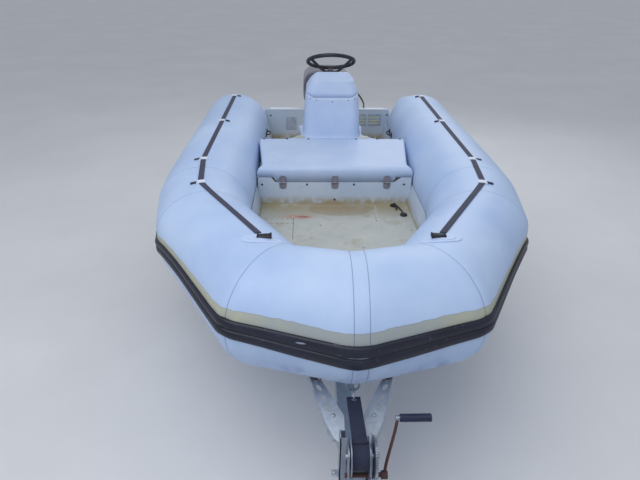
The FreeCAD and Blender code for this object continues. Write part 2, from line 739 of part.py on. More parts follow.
def make_hinges():
    axis_x = LOCKER_FRONT + HINGE_OUT
    axis_z = FLAP_SEAM_Z + SEAM_GAP / 2
    reach = HINGE_HEIGHT / 2
    third = HINGE_LENGTH / 3
    fixed, moving = [], []
    for y in HINGE_YS:
        low_leaf = hinge_leaf(y, axis_z - KNUCKLE_R - KNUCKLE_GAP, axis_z - reach)
        high_leaf = hinge_leaf(y, axis_z + KNUCKLE_R + KNUCKLE_GAP, axis_z + reach)
        pin = across(axis_x, axis_z, y - HINGE_LENGTH / 2, y + HINGE_LENGTH / 2, HINGE_PIN_R)
        outer = [low_leaf, pin]
        for side in (-1, 1):
            y0 = y + side * HINGE_LENGTH / 2
            y1 = y + side * (third / 2 + KNUCKLE_GAP)
            outer.append(across(axis_x, axis_z, min(y0, y1), max(y0, y1), KNUCKLE_R))
            outer.append(box(LOCKER_FRONT, axis_x, min(y0, y1), max(y0, y1),
                             axis_z - KNUCKLE_WEB, axis_z))
        fixed.append(fused(outer))
        barrel = across(axis_x, axis_z, y - third / 2, y + third / 2, KNUCKLE_R)
        web = box(LOCKER_FRONT, axis_x, y - third / 2, y + third / 2, axis_z, axis_z + KNUCKLE_WEB)
        hole = across(axis_x, axis_z, y - third, y + third, HINGE_PIN_R + SMALL_RUN)
        moving.append(fused([high_leaf, web, barrel]).cut(hole))
    save("locker_hinges", *fixed)
    save("seat_hinge_leaves", *moving)


# Outboard motor
def make_motor_clamp():
    plates = []
    for side in (-1, 1):
        inner = side * CLAMP_Y
        outer = side * (CLAMP_Y + CLAMP_PLATE)
        outline = [(-8.0, WELL_Z - 190.0), (-8.0, WELL_Z - 8.0), (TILT_X - 22.0, TILT_Z - 14.0),
                   ((TILT_X - 12.0, TILT_Z + 17.0), (TILT_X + 12.0, TILT_Z + 20.0)),
                   (TRANSOM_THICK + 14.0, WELL_Z + 13.0), (TRANSOM_THICK + 14.0, WELL_Z - 95.0),
                   (TRANSOM_THICK + 8.0, WELL_Z - 95.0), (TRANSOM_THICK + 8.0, WELL_Z),
                   (0.0, WELL_Z), (0.0, WELL_Z - 190.0)]
        plates.append(side_prism(outline, min(inner, outer), max(inner, outer)))
        mid = side * (CLAMP_Y + CLAMP_PLATE / 2)
        screw = rod((TRANSOM_THICK, mid, WELL_Z - 60.0), (TRANSOM_THICK + 75.0, mid, WELL_Z - 60.0), 7.0)
        toggle = rod((TRANSOM_THICK + 68.0, mid - 28.0, WELL_Z - 60.0),
                     (TRANSOM_THICK + 68.0, mid + 28.0, WELL_Z - 60.0), 5.0)
        pad = rod((TRANSOM_THICK, mid, WELL_Z - 60.0), (TRANSOM_THICK + 6.0, mid, WELL_Z - 60.0), 20.0)
        plates += [screw, toggle, pad]
    tube = across(TILT_X, TILT_Z, -TILT_TUBE_Y, TILT_TUBE_Y, TILT_TUBE_R)
    bridge = box(TRANSOM_THICK + 8.0, TRANSOM_THICK + 14.0, -CLAMP_Y, CLAMP_Y, WELL_Z - 95.0, WELL_Z - 70.0)
    nut = cable_fitting(CABLE_ROUTE[-1], CABLE_ROUTE[-2], 20.0)
    whole = fused(plates + [tube, bridge, nut])
    save("motor_clamp", whole)


def cord_tube(route, diameter):
    """Round cord along a route of straight runs joined by arcs as large as the runs allow."""
    points = [Vector(*p) for p in route]
    edges = []
    last = points[0]
    radii = []
    for before, corner, after in zip(points, points[1:], points[2:]):
        arrive = corner - before
        leave = after - corner
        shorter = min(arrive.Length, leave.Length)
        arrive = arrive / arrive.Length
        leave = leave / leave.Length
        turn = arrive.getAngle(leave)
        trim = 0.45 * shorter
        radius = trim / math.tan(turn / 2)
        radii.append(round(radius, 1))
        start = corner - arrive * trim
        end = corner + leave * trim
        inward = (leave - arrive) / (leave - arrive).Length
        middle = corner + inward * (radius / math.cos(turn / 2) - radius)
        edges.append(Part.makeLine(last, start))
        edges.append(Part.Arc(start, middle, end).toShape())
        last = end
    edges.append(Part.makeLine(last, points[-1]))
    path = Part.Wire(edges)
    ring = Part.Wire([Part.makeCircle(diameter / 2, points[0], points[1] - points[0])])
    tube = path.makePipeShell([ring], True, True)
    expected = math.pi * diameter ** 2 / 4 * path.Length
    print("cord radii", radii, "length", round(path.Length),
          "volume ratio", round(tube.Volume / expected, 4))
    return tube


def make_steering_cable():
    save("steering_cable", cord_tube(CABLE_ROUTE, CABLE_DIAMETER))


def make_swivel_bracket():
    tube = Part.makeCylinder(SWIVEL_R, SWIVEL_HIGH - SWIVEL_LOW, Vector(STEER_X, 0, SWIVEL_LOW))
    head = side_prism([(STEER_X, 700.0), (STEER_X, 872.0), (TILT_X + 4.0, TILT_Z + 24.0),
                       ((TILT_X + 24.0, TILT_Z), (TILT_X + 4.0, TILT_Z - 24.0))],
                      -SWIVEL_Y, SWIVEL_Y)
    bore = across(TILT_X, TILT_Z, -SWIVEL_Y - 5.0, SWIVEL_Y + 5.0, TILT_TUBE_R + SMALL_RUN)
    pivot = Part.makeCylinder(14.0, BIG, Vector(STEER_X, 0, 0))
    bracket = fused([tube, head]).cut(bore).cut(pivot)
    save("swivel_bracket", bracket)


def rounded(x0, x1, half, nose, tail):
    """Plan outline with rounded ends, forward end at x1."""
    k = 1 - math.sqrt(0.5)
    return [(x0, -half + tail), ((x0 + tail * k, -half + tail * k), (x0 + tail, -half)),
            (x1 - nose, -half), ((x1 - nose * k, -half + nose * k), (x1, -half + nose)),
            (x1, half - nose), ((x1 - nose * k, half - nose * k), (x1 - nose, half)),
            (x0 + tail, half), ((x0 + tail * k, half - tail * k), (x0, half - tail))]


def make_motor():
    rings = []
    for z, back, front, side, nose, tail in COWL_SECTIONS:
        plan = rounded(COWL_BACK + back, COWL_FRONT - front, COWL_Y - side, nose, tail)
        rings.append(wire(place(plan, lambda x, y: (x, y, z))))
    save("motor_cowl", Part.makeLoft(rings, True, True))

    pan = plan_prism(rounded(PAN_BACK, PAN_FRONT, PAN_Y, 60.0, 80.0), PAN_LOW, COWL_LOW)
    leg = plan_prism(rounded(LEG_BACK, LEG_FRONT, LEG_Y, 30.0, 34.0), PLATE_Z, PAN_LOW)
    yoke_plan = [(LEG_FRONT - 30.0, -LEG_Y + 6.0), (STEER_X, -26.0),
                 ((STEER_X + 26.0, 0.0), (STEER_X, 26.0)), (LEG_FRONT - 30.0, LEG_Y - 6.0)]
    yoke = plan_prism(yoke_plan, SWIVEL_LOW - 36.0, SWIVEL_LOW - 1.0)
    pivot = Part.makeCylinder(14.0 - SMALL_RUN, PAN_LOW - SWIVEL_LOW + 20.0,
                              Vector(STEER_X, 0, SWIVEL_LOW - 20.0))
    save("motor_leg", fused([pan, leg, yoke, pivot]))

    plate = plan_prism(rounded(-420.0, -70.0, 88.0, 70.0, 40.0), PLATE_Z - PLATE_THICK, PLATE_Z)
    strut = plan_prism(rounded(LEG_BACK - 10.0, LEG_FRONT + 10.0, 26.0, 24.0, 24.0),
                       PROP_Z, PLATE_Z - PLATE_THICK)
    shell = [(PROP_FRONT, 0.0), (PROP_FRONT, GEARCASE_R - 6.0), (PROP_FRONT + 120.0, GEARCASE_R),
             (-115.0, GEARCASE_R), ((-68.0, GEARCASE_R * 0.72), (-50.0, 9.0)), (-50.0, 0.0)]
    torpedo = turned(shell, (0.0, 0.0, PROP_Z), (1, 0, 0))
    skeg = side_prism([(-130.0, PROP_Z), (-215.0, SKEG_Z), (-290.0, SKEG_Z + 8.0), (-290.0, PROP_Z)],
                      -5.0, 5.0)
    shaft = rod((PROP_FRONT + 1.0, 0.0, PROP_Z), (PROP_BACK - 8.0, 0.0, PROP_Z), 9.0)
    save("motor_gearcase", fused([plate, strut, torpedo, skeg, shaft]))


def make_propeller():
    hub = turned([(PROP_BACK, 9.1), (PROP_BACK, PROP_HUB_R - 6.0), (PROP_FRONT - 2.0, PROP_HUB_R),
                  (PROP_FRONT - 2.0, 9.1)], (0.0, 0.0, PROP_Z), (1, 0, 0))
    blades = []
    mid = (PROP_FRONT + PROP_BACK) / 2
    for index in range(PROP_BLADES):
        outline = [(-16.0, PROP_HUB_R * 0.8), (-44.0, PROP_R * 0.62),
                   ((-14.0, PROP_R), (34.0, PROP_R * 0.72)), (18.0, PROP_HUB_R * 0.8)]
        blade = front_prism(outline, -3.0, 3.0)
        blade.rotate(Vector(0, 0, 0), Vector(0, 0, 1), 28.0)
        blade.rotate(Vector(0, 0, 0), Vector(1, 0, 0), 360.0 / PROP_BLADES * index)
        blade.translate(Vector(mid, 0, PROP_Z))
        blades.append(blade)
    bore = rod((PROP_BACK - 5.0, 0.0, PROP_Z), (PROP_FRONT, 0.0, PROP_Z), 9.1)
    save("propeller", fused([hub] + blades).cut(bore))


# Trailer
def make_chassis():
    low = SPINE_TOP - SPINE_SIZE
    save("drawbar", box(SPINE_BACK, SPINE_FRONT, -SPINE_SIZE / 2, SPINE_SIZE / 2, low, SPINE_TOP))
    beam_x = AXLE_X + ARM_LENGTH
    beams = [box(beam_x - BEAM_SIZE / 2, beam_x + BEAM_SIZE / 2, -BEAM_END, BEAM_END,
                 low - BEAM_SIZE, low)]
    for x in CROSS_XS:
        beams.append(box(x - CROSS_SIZE / 2, x + CROSS_SIZE / 2, -CROSS_END, CROSS_END,
                         low - CROSS_SIZE, low))
    save("axle_and_cross_beams", *beams)
    arms = []
    beam_z = low - BEAM_SIZE / 2
    for side in (-1, 1):
        inner = side * BEAM_END
        outer = side * (BEAM_END + ARM_THICK)
        y0, y1 = min(inner, outer), max(inner, outer)
        plate = side_prism([(beam_x + 30.0, beam_z - 26.0), (beam_x + 30.0, beam_z + 26.0),
                            (AXLE_X, AXLE_Z + 24.0), (AXLE_X - 24.0, AXLE_Z),
                            (AXLE_X, AXLE_Z - 24.0)], y0, y1)
        stub = across(AXLE_X, AXLE_Z, min(inner, side * (WHEEL_Y + 20.0)),
                      max(inner, side * (WHEEL_Y + 20.0)), STUB_R)
        arms.append(fused([plate, stub]))
    save("suspension_arms", *arms)


def make_wheels():
    for side, name in ((1, "port"), (-1, "starboard")):
        centre = (AXLE_X, side * WHEEL_Y, AXLE_Z)
        axis = (0, side, 0)
        w = TYRE_HALF
        tyre = [(-RIM_HALF, RIM_R), (-w + 2.0, RIM_R + 22.0),
                ((-w, RIM_R + 60.0), (-w + 9.0, TYRE_R - 22.0)), (-w + 24.0, TYRE_R - 4.0),
                ((0.0, TYRE_R), (w - 24.0, TYRE_R - 4.0)), (w - 9.0, TYRE_R - 22.0),
                ((w, RIM_R + 60.0), (w - 2.0, RIM_R + 22.0)), (RIM_HALF, RIM_R)]
        save("tyre_" + name, turned(tyre, centre, axis))
        rim = [(-RIM_HALF, RIM_R), (-RIM_HALF, RIM_R - 8.0), (-10.0, RIM_R - 26.0), (-4.0, 70.0),
               (-4.0, WHEEL_HUB_R), (-80.0, WHEEL_HUB_R), (-80.0, STUB_R + SMALL_RUN),
               (22.0, STUB_R + SMALL_RUN), (22.0, 0.0), (46.0, 0.0), (40.0, 24.0), (4.0, WHEEL_HUB_R),
               (4.0, 70.0), (14.0, RIM_R - 20.0), (RIM_HALF, RIM_R - 8.0), (RIM_HALF, RIM_R)]
        save("rim_" + name, turned(rim, centre, axis))


def make_mudguards():
    inner_r = TYRE_R + GUARD_GAP
    outer_r = inner_r + GUARD_THICK
    lip_r = inner_r - GUARD_LIP
    guards, brackets = [], []
    for side in (-1, 1):
        profile = [(GUARD_IN, lip_r), (GUARD_IN, outer_r), (GUARD_OUT, outer_r), (GUARD_OUT, lip_r),
                   (GUARD_OUT - GUARD_THICK, lip_r), (GUARD_OUT - GUARD_THICK, inner_r),
                   (GUARD_IN + GUARD_THICK, inner_r), (GUARD_IN + GUARD_THICK, lip_r)]
        base = Vector(AXLE_X, 0, AXLE_Z)
        points = [tuple(base + Vector(r, side * y, 0)) for y, r in profile]
        guards.append(Part.Face(wire(points)).revolve(base, Vector(0, -1, 0), 180))
        low = SPINE_TOP - SPINE_SIZE
        half_bar = GUARD_BAR / 2
        bar_x = AXLE_X + ARM_LENGTH + BEAM_SIZE / 2 - half_bar
        y_in = side * GUARD_IN
        y_bar = side * (GUARD_IN - 6.0)
        y_beam = side * (BEAM_END - 40.0)
        top = AXLE_Z + math.sqrt(lip_r ** 2 - (bar_x + half_bar - AXLE_X) ** 2) + 10.0
        upright = box(bar_x - half_bar, bar_x + half_bar, min(y_in, y_bar), max(y_in, y_bar), low, top)
        foot = box(bar_x - half_bar, bar_x + half_bar, min(y_in, y_beam), max(y_in, y_beam), low, low + 6.0)
        brackets.append(fused([upright, foot]))
    save("mudguards", *guards)
    save("mudguard_brackets", *brackets)


def hull_slope():
    return (CHINE_Z - KEEL_Z) / CHINE_Y


def make_keel_supports():
    rollers, brackets = [], []
    slope = hull_slope()
    centre_z = KEEL_Z - ROLLER_WAIST - SEAT_CLEAR
    for x in ROLLER_XS:
        big = ROLLER_WAIST + ROLLER_HALF * slope
        profile = [(-ROLLER_HALF, ROLLER_PIN + SMALL_RUN), (-ROLLER_HALF, big), (0.0, ROLLER_WAIST),
                   (ROLLER_HALF, big), (ROLLER_HALF, ROLLER_PIN + SMALL_RUN)]
        rollers.append(turned(profile, (x, 0.0, centre_z), (0, 1, 0)))
        cheeks = []
        for side in (-1, 1):
            y0, y1 = sorted((side * (ROLLER_HALF + 2.0), side * (ROLLER_HALF + 8.0)))
            cheeks.append(side_prism([(x - 30.0, SPINE_TOP), (x - 18.0, centre_z + 16.0),
                                      (x + 18.0, centre_z + 16.0), (x + 30.0, SPINE_TOP)], y0, y1))
        cheeks.append(box(x - 30.0, x + 30.0, -ROLLER_HALF - 8.0, ROLLER_HALF + 8.0,
                          SPINE_TOP, SPINE_TOP + 5.0))
        cheeks.append(across(x, centre_z, -ROLLER_HALF - 14.0, ROLLER_HALF + 14.0, ROLLER_PIN))
        brackets.append(fused(cheeks))
    save("keel_rollers", *rollers)
    save("roller_brackets", *brackets)


def make_bunks():
    slope = hull_slope()
    tilt = math.degrees(math.atan(slope))
    boards, posts = [], []
    low = SPINE_TOP - SPINE_SIZE
    touch_z = KEEL_Z + slope * BUNK_Y - SEAT_CLEAR
    board = box(BUNK_BACK, BUNK_FRONT, -BUNK_WIDTH / 2, BUNK_WIDTH / 2, -BUNK_THICK, 0.0)
    board.rotate(Vector(0, 0, 0), Vector(1, 0, 0), tilt)
    board.translate(Vector(0, BUNK_Y, touch_z))
    for x in CROSS_XS:
        post = box(x - POST_SIZE / 2, x + POST_SIZE / 2, BUNK_Y - POST_SIZE / 2, BUNK_Y + POST_SIZE / 2,
                   low, touch_z)
        under = box(-BIG / 2, BIG / 2, -BIG / 2, BIG / 2, -BUNK_THICK, BIG)
        under.rotate(Vector(0, 0, 0), Vector(1, 0, 0), tilt)
        under.translate(Vector(0, BUNK_Y, touch_z))
        posts.append(post.cut(under))
    save("bunk_boards", *both_sides(board))
    save("bunk_posts", *[s for p in posts for s in both_sides(p)])


def make_winch_post():
    half = WINCH_POST_SIZE / 2
    post = box(WINCH_POST_X, WINCH_POST_X + WINCH_POST_SIZE, -half, half, SPINE_TOP, WINCH_POST_Z)
    foot = box(WINCH_POST_X - 40.0, WINCH_POST_X + WINCH_POST_SIZE + 40.0, -half - 10.0, half + 10.0,
               SPINE_TOP, SPINE_TOP + 8.0)
    save("winch_post", fused([post, foot]))


ARM_FOOT = Vector(WINCH_POST_X - 37.0, 30.0, WINCH_POST_Z + 35.0)
ARM_HEAD = Vector(TUBE_SEAMS[3][0] + 36.0, 134.0, TUBE_Z - TUBE_R - 16.0)
ARM_WIDTH = 44.0
ARM_PLATE = 8.0


def make_bow_support():
    head = box(ARM_FOOT.x - 25.0, WINCH_POST_X + WINCH_POST_SIZE, -WINCH_POST_SIZE / 2, WINCH_POST_SIZE / 2,
               WINCH_POST_Z, WINCH_POST_Z + 8.0)
    arms, pads = [], []
    for side in (-1, 1):
        foot = (ARM_FOOT.x, side * ARM_FOOT.y, ARM_FOOT.z)
        top = (ARM_HEAD.x, side * ARM_HEAD.y, ARM_HEAD.z)
        arms.append(bar(foot, top, ARM_WIDTH, ARM_PLATE,
                        ((70.0, 46.0, 20.0), (140.0, 46.0, 20.0), (210.0, 46.0, 20.0))))
        arms.append(box(ARM_FOOT.x - 25.0, ARM_FOOT.x + 12.0, side * ARM_FOOT.y - 12.0,
                        side * ARM_FOOT.y + 12.0, WINCH_POST_Z, ARM_FOOT.z))
        pad = rod((ARM_HEAD.x + 8.0, side * (ARM_HEAD.y - 4.0), ARM_HEAD.z),
                  (ARM_HEAD.x + 8.0, side * (ARM_HEAD.y - 4.0), TUBE_Z - TUBE_R + 30.0), 24.0)
        pads.append(pad)
    frame = fused([head] + arms)
    save("bow_support_arms", frame)
    grown = along_tube(3, [(o * (1 + SEAT_CLEAR / TUBE_R), h * (1 + SEAT_CLEAR / TUBE_R))
                           if not isinstance(o, tuple) else
                           (tuple(v * (1 + SEAT_CLEAR / TUBE_R) for v in o),
                            tuple(v * (1 + SEAT_CLEAR / TUBE_R) for v in h))
                           for o, h in tube_circle()])
    rubber = [p.cut(grown).cut(mirrored(grown)).cut(frame) for p in pads]
    save("bow_support_pads", *rubber)


def crank_direction():
    a = math.radians(CRANK_LEAN)
    return Vector(math.cos(a), 0, math.sin(a))


def make_winch():
    shaft_z = WINCH_Z - GEAR_MESH
    sides = []
    for side in (-1, 1):
        y0, y1 = sorted((side * FRAME_Y, side * (FRAME_Y + FRAME_THICK)))
        outline = [(WINCH_X - 70.0, WINCH_POST_Z - 60.0), (WINCH_X - 40.0, WINCH_Z + 10.0),
                   ((WINCH_X, WINCH_Z + 36.0), (WINCH_X + 34.0, WINCH_Z + 10.0)),
                   (WINCH_X + 44.0, shaft_z - 30.0), (WINCH_X - 20.0, WINCH_POST_Z - 60.0)]
        cheek = side_prism(outline, y0, y1)
        cheek = cheek.cut(across(WINCH_X, WINCH_Z, y0 - 1.0, y1 + 1.0, 9.0 + SMALL_RUN))
        cheek = cheek.cut(across(WINCH_X, shaft_z, y0 - 1.0, y1 + 1.0, 8.0 + SMALL_RUN))
        ear = box(WINCH_X - 70.0, WINCH_X - 22.0, min(side * WINCH_POST_SIZE / 2, y0, y1),
                  max(side * WINCH_POST_SIZE / 2, y0, y1), WINCH_POST_Z - 60.0, WINCH_POST_Z - 30.0)
        inside_post = box(0.0, WINCH_POST_X + WINCH_POST_SIZE, -30.0, 30.0, 0.0, 600.0)
        sides.append(fused([cheek, ear]).cut(inside_post))
    save("winch_cheeks", *sides)

    frame_out = FRAME_Y + FRAME_THICK
    gear_in = frame_out + 6.0
    drum = [across(WINCH_X, WINCH_Z, -DRUM_HALF, DRUM_HALF, DRUM_R),
            across(WINCH_X, WINCH_Z, -FRAME_Y + 3.0, -DRUM_HALF, FLANGE_R),
            across(WINCH_X, WINCH_Z, DRUM_HALF, FRAME_Y - 3.0, FLANGE_R),
            across(WINCH_X, WINCH_Z, -frame_out - 8.0, frame_out + 12.0 + GEAR_THICK, 9.0),
            across(WINCH_X, WINCH_Z, gear_in, gear_in + GEAR_THICK, GEAR_R)]
    save("winch_drum", fused(drum))

    way = crank_direction()
    foot = Vector(WINCH_X, CRANK_Y, shaft_z)
    tip = foot + way * CRANK_LENGTH
    shaft = across(WINCH_X, shaft_z, -FRAME_Y - FRAME_THICK - 8.0, CRANK_Y + 8.0, 8.0)
    pinion = across(WINCH_X, shaft_z, gear_in, gear_in + GEAR_THICK, PINION_R)
    arm = bar(tuple(foot - way * 14.0), tuple(tip + way * 12.0), 6.0, 26.0)
    grip = across(tip.x, tip.z, CRANK_Y, CRANK_Y + 14.0, 7.0)
    handle = turned([(14.0, 0.0), (14.0, GRIP_R - 3.0), (22.0, GRIP_R), (60.0, GRIP_R - 1.5),
                     (GRIP_LENGTH + 4.0, GRIP_R), (GRIP_LENGTH + 14.0, GRIP_R - 4.0),
                     (GRIP_LENGTH + 14.0, 0.0)], tuple(tip), (0, 1, 0))
    save("winch_crank", fused([shaft, pinion, arm, grip, handle]))


def bow_ring_point():
    """Point under the bow where the towing patch is glued, and its outward direction."""
    a = math.radians(BOW_RING_ANGLE)
    heading = HEADINGS[3]
    stretch = TUBE_R / heading.cross(Vector(0, 0, 1)).dot(Vector(-1, 0, 0)) * math.cos(a)
    return (Vector(CORNERS[4].x + abs(stretch), 0, TUBE_Z - TUBE_R * math.sin(a)),
            Vector(math.cos(a), 0, -math.sin(a)))


def make_bow_ring_and_strap():
    point, out = bow_ring_point()
    disc = Part.makeCylinder(44.0, 30.0, point - out * 26.0, out)
    disc = clear_of_tubes(disc)
    disc = max(disc.Solids, key=lambda s: s.CenterOfMass.dot(out))
    ring_centre = point + out * 4.0 + Vector(0, 0, -20.0)
    ring = Part.makeTorus(22.0, 4.0, ring_centre, Vector(1, 0, 0))
    save("bow_towing_ring", fused([disc, clear_of_tubes(ring)]))

    hook_centre = ring_centre + Vector(13.0, 0, -22.0 - 12.0)
    hook = Part.makeTorus(26.0, 4.0, hook_centre, Vector(0, 1, 0))
    save("winch_shackle", hook)

    half = 25.0
    web = 4.0
    eye = hook_centre + Vector(26.0, 0, 0)
    radius = DRUM_R + SEAT_CLEAR + 0.2
    run = Vector(WINCH_X - eye.x, 0, WINCH_Z - eye.z)
    to_centre = run.Length
    lift = math.asin(radius / to_centre)
    base = math.atan2(run.z, run.x) + lift
    length = to_centre * math.cos(lift)
    start = eye - Vector(14.0, 0, 0)
    way = Vector(math.cos(base), 0, math.sin(base))
    up = Vector(-way.z, 0, way.x)
    touch = eye + way * length
    line = [eye, touch, touch + up * web, eye + up * web]
    strap = side_prism([(p.x, p.z) for p in line], -half, half)
    pad = box(start.x, eye.x + 34.0, -half, half, eye.z - 1.0, eye.z + 4.0)
    hole = Part.makeCylinder(9.0, 60.0, Vector(eye.x, 0, eye.z - 30.0))
    save("winch_strap", fused([strap, pad]).cut(hole))


def make_coupling():
    z0 = SPINE_TOP - SPINE_SIZE
    half = SPINE_SIZE / 2
    sleeve = box(SPINE_FRONT - 150.0, SPINE_FRONT + 40.0, -half - 5.0, half + 5.0,
                 z0 + 12.0, SPINE_TOP + 6.0)
    sleeve = sleeve.cut(box(SPINE_BACK, SPINE_FRONT, -half, half, z0, SPINE_TOP))
    ball_x = COUPLING_FRONT - 38.0
    nose = Part.makeCylinder(38.0, 62.0, Vector(ball_x, 0, SPINE_TOP - 56.0))
    neck = box(SPINE_FRONT, ball_x, -26.0, 26.0, SPINE_TOP - 50.0, SPINE_TOP + 6.0)
    socket = Part.makeCylinder(BALL_R, 40.0, Vector(ball_x, 0, SPINE_TOP - 57.0))
    lever = bar((ball_x - 30.0, 0.0, SPINE_TOP + 12.0), (SPINE_FRONT - 60.0, 0.0, SPINE_TOP + 46.0),
                30.0, 10.0)
    hinge = box(ball_x - 44.0, ball_x - 10.0, -14.0, 14.0, SPINE_TOP + 2.0, SPINE_TOP + 16.0)
    save("coupling_head", fused([sleeve, neck, nose, lever, hinge]).cut(socket))


def make_jockey():
    centre = Vector(JOCKEY_X, JOCKEY_Y, 0)
    top = JOCKEY_TUBE_LOW + JOCKEY_TUBE_LONG
    tube = Part.makeCylinder(JOCKEY_TUBE_R, JOCKEY_TUBE_LONG, centre + Vector(0, 0, JOCKEY_TUBE_LOW))
    leg = Part.makeCylinder(JOCKEY_LEG_R, 60.0, centre + Vector(0, 0, FORK_Z + 10.0))
    crank = rod((JOCKEY_X, JOCKEY_Y, top), (JOCKEY_X, JOCKEY_Y, top + 24.0), 8.0)
    arm = bar((JOCKEY_X, JOCKEY_Y, top + 21.0), (JOCKEY_X + JOCKEY_HANDLE, JOCKEY_Y, top + 21.0), 20.0, 6.0)
    knob_x = JOCKEY_X + JOCKEY_HANDLE - 8.0
    knob = rod((knob_x, JOCKEY_Y, top + 18.0), (knob_x, JOCKEY_Y, top + 18.0 + JOCKEY_KNOB), 11.0)
    save("jockey_tube", fused([tube, leg, crank, arm, knob]))

    y_bar = -SPINE_SIZE / 2
    clamp = box(JOCKEY_X - 38.0, JOCKEY_X + 38.0, JOCKEY_Y - JOCKEY_TUBE_R - 8.0, y_bar,
                SPINE_TOP - 67.0, SPINE_TOP - 13.0)
    clamp = clamp.cut(Part.makeCylinder(JOCKEY_TUBE_R, 200.0, centre + Vector(0, 0, 200.0)))
    save("jockey_clamp", clamp)

    axle = centre + Vector(-JOCKEY_TRAIL, 0, JOCKEY_R)
    plate = box(JOCKEY_X - 62.0, JOCKEY_X + 24.0, JOCKEY_Y - 40.0, JOCKEY_Y + 40.0, FORK_Z, FORK_Z + 6.0)
    boss = Part.makeCylinder(22.0, 9.5, centre + Vector(0, 0, FORK_Z))
    legs = []
    for side in (-1, 1):
        y0, y1 = sorted((JOCKEY_Y + side * 35.0, JOCKEY_Y + side * 40.0))
        legs.append(side_prism([(JOCKEY_X - 62.0, FORK_Z + 6.0), (JOCKEY_X + 20.0, FORK_Z + 6.0),
                                (axle.x + 16.0, axle.z - 14.0), (axle.x - 16.0, axle.z - 14.0)], y0, y1))
    pin = across(axle.x, axle.z, JOCKEY_Y - 44.0, JOCKEY_Y + 44.0, 8.0)
    save("jockey_fork", fused([plate, boss, pin] + legs))
    wheel = [(-JOCKEY_HALF, 8.0 + SMALL_RUN), (-JOCKEY_HALF, 26.0), (-JOCKEY_HALF + 14.0, 40.0),
             (-JOCKEY_HALF + 8.0, 64.0), (-JOCKEY_HALF + 2.0, JOCKEY_R - 12.0),
             ((0.0, JOCKEY_R), (JOCKEY_HALF - 2.0, JOCKEY_R - 12.0)), (JOCKEY_HALF - 8.0, 64.0),
             (JOCKEY_HALF - 14.0, 40.0), (JOCKEY_HALF, 26.0), (JOCKEY_HALF, 8.0 + SMALL_RUN)]
    save("jockey_wheel", turned(wheel, tuple(axle), (0, 1, 0)))


def make_fittings():
    foot = Vector(DRAIN_X, DRAIN_Y, FLOOR_Z)
    bend = foot + Vector(13.0, 2.0, 22.0)
    drain = Part.makeCylinder(21.0, 7.0, foot)
    stem = rod(tuple(foot + Vector(0, 0, 4.0)), tuple(bend), DRAIN_TAIL_R)
    tail = rod(tuple(bend), tuple(bend + Vector(54.0, 7.0, -14.0)), DRAIN_TAIL_R)
    joint = Part.makeSphere(DRAIN_TAIL_R, bend)
    save("drain_bung", fused([drain, stem, joint, tail]))


make_tubes()
make_strake()
make_lifelines()
make_handles()
make_hull()
LINER = make_floor()
make_transom()
make_locker(LINER)
make_seat_and_console()
make_helm()
save("steering_wheel", steering_wheel())
make_hinges()
make_motor_clamp()
make_swivel_bracket()
make_steering_cable()
make_motor()
make_propeller()
make_chassis()
make_wheels()
make_mudguards()
make_keel_supports()
make_bunks()
make_winch_post()
make_bow_support()
make_winch()
make_bow_ring_and_strap()
make_coupling()
make_jockey()
make_fittings()
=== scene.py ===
# %% [markdown]
# An inflatable boat with a rigid hull, on its road trailer. The working sizes live in the
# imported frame; here every piece gets the shape and finish that the eye meets. All lengths are
# metres once they are in Blender. Stations are written in millimetres, measured forward from
# the transom, with places to port positive and heights above the ground, because that is how
# the boat was drawn.

# %% Load the frame
import bpy
import math
from mathutils import Matrix, Vector, noise


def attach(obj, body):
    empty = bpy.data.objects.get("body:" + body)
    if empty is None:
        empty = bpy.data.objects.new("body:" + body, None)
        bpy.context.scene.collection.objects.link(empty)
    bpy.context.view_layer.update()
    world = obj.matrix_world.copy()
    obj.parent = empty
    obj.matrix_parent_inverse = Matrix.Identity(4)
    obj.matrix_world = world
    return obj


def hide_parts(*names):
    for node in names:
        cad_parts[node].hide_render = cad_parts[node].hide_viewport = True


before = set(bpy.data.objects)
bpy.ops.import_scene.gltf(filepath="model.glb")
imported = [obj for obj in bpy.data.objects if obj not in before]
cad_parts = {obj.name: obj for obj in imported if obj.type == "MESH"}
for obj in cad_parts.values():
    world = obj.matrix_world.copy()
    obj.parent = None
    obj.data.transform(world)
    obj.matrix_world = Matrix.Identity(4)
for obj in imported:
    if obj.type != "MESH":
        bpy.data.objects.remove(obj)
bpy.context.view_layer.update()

# %% [markdown]
# The drawing's origin is the transom, and the frame's origin is the middle of the whole part
# on the ground. One function moves a station, in millimetres, into the frame.

# %% Stations to metres
MM = 0.001
TRANSOM_X = -1627.5


def at(x, y, z):
    """A point of the boat's drawing, in millimetres, as a point of the frame, in metres."""
    return Vector(((x + TRANSOM_X) * MM, y * MM, z * MM))


# %% [markdown]
# Most pieces are rows of points joined into faces: a loft joins ring to ring, a sweep carries
# a ring along a line, a lathe turns an outline, and a prism gives an outline a thickness.
# Blender's own primitives and booleans could start each piece, but they leave meshes that are
# hard to bend to measured lines. Each helper returns points and faces, so that several can be
# merged into one mesh.

# %% Mesh helpers
def loft(rings, closed=True, caps=True):
    """Faces between rows of points. Closed rows are rings; caps close the first and last."""
    count = len(rings[0])
    points = [Vector(p) for ring in rings for p in ring]
    faces = []
    for row in range(len(rings) - 1):
        for col in range(count if closed else count - 1):
            a, b = row * count + col, row * count + (col + 1) % count
            faces.append((a, b, b + count, a + count))
    if closed and caps:
        faces.append(tuple(reversed(range(count))))
        faces.append(tuple(range((len(rings) - 1) * count, len(rings) * count)))
    return points, faces


def circle(centre, side, up, radius, count=24):
    """A ring of points round a centre, in the plane of two directions."""
    turns = [math.tau * k / count for k in range(count)]
    return [centre + side * (radius * math.cos(a)) + up * (radius * math.sin(a)) for a in turns]


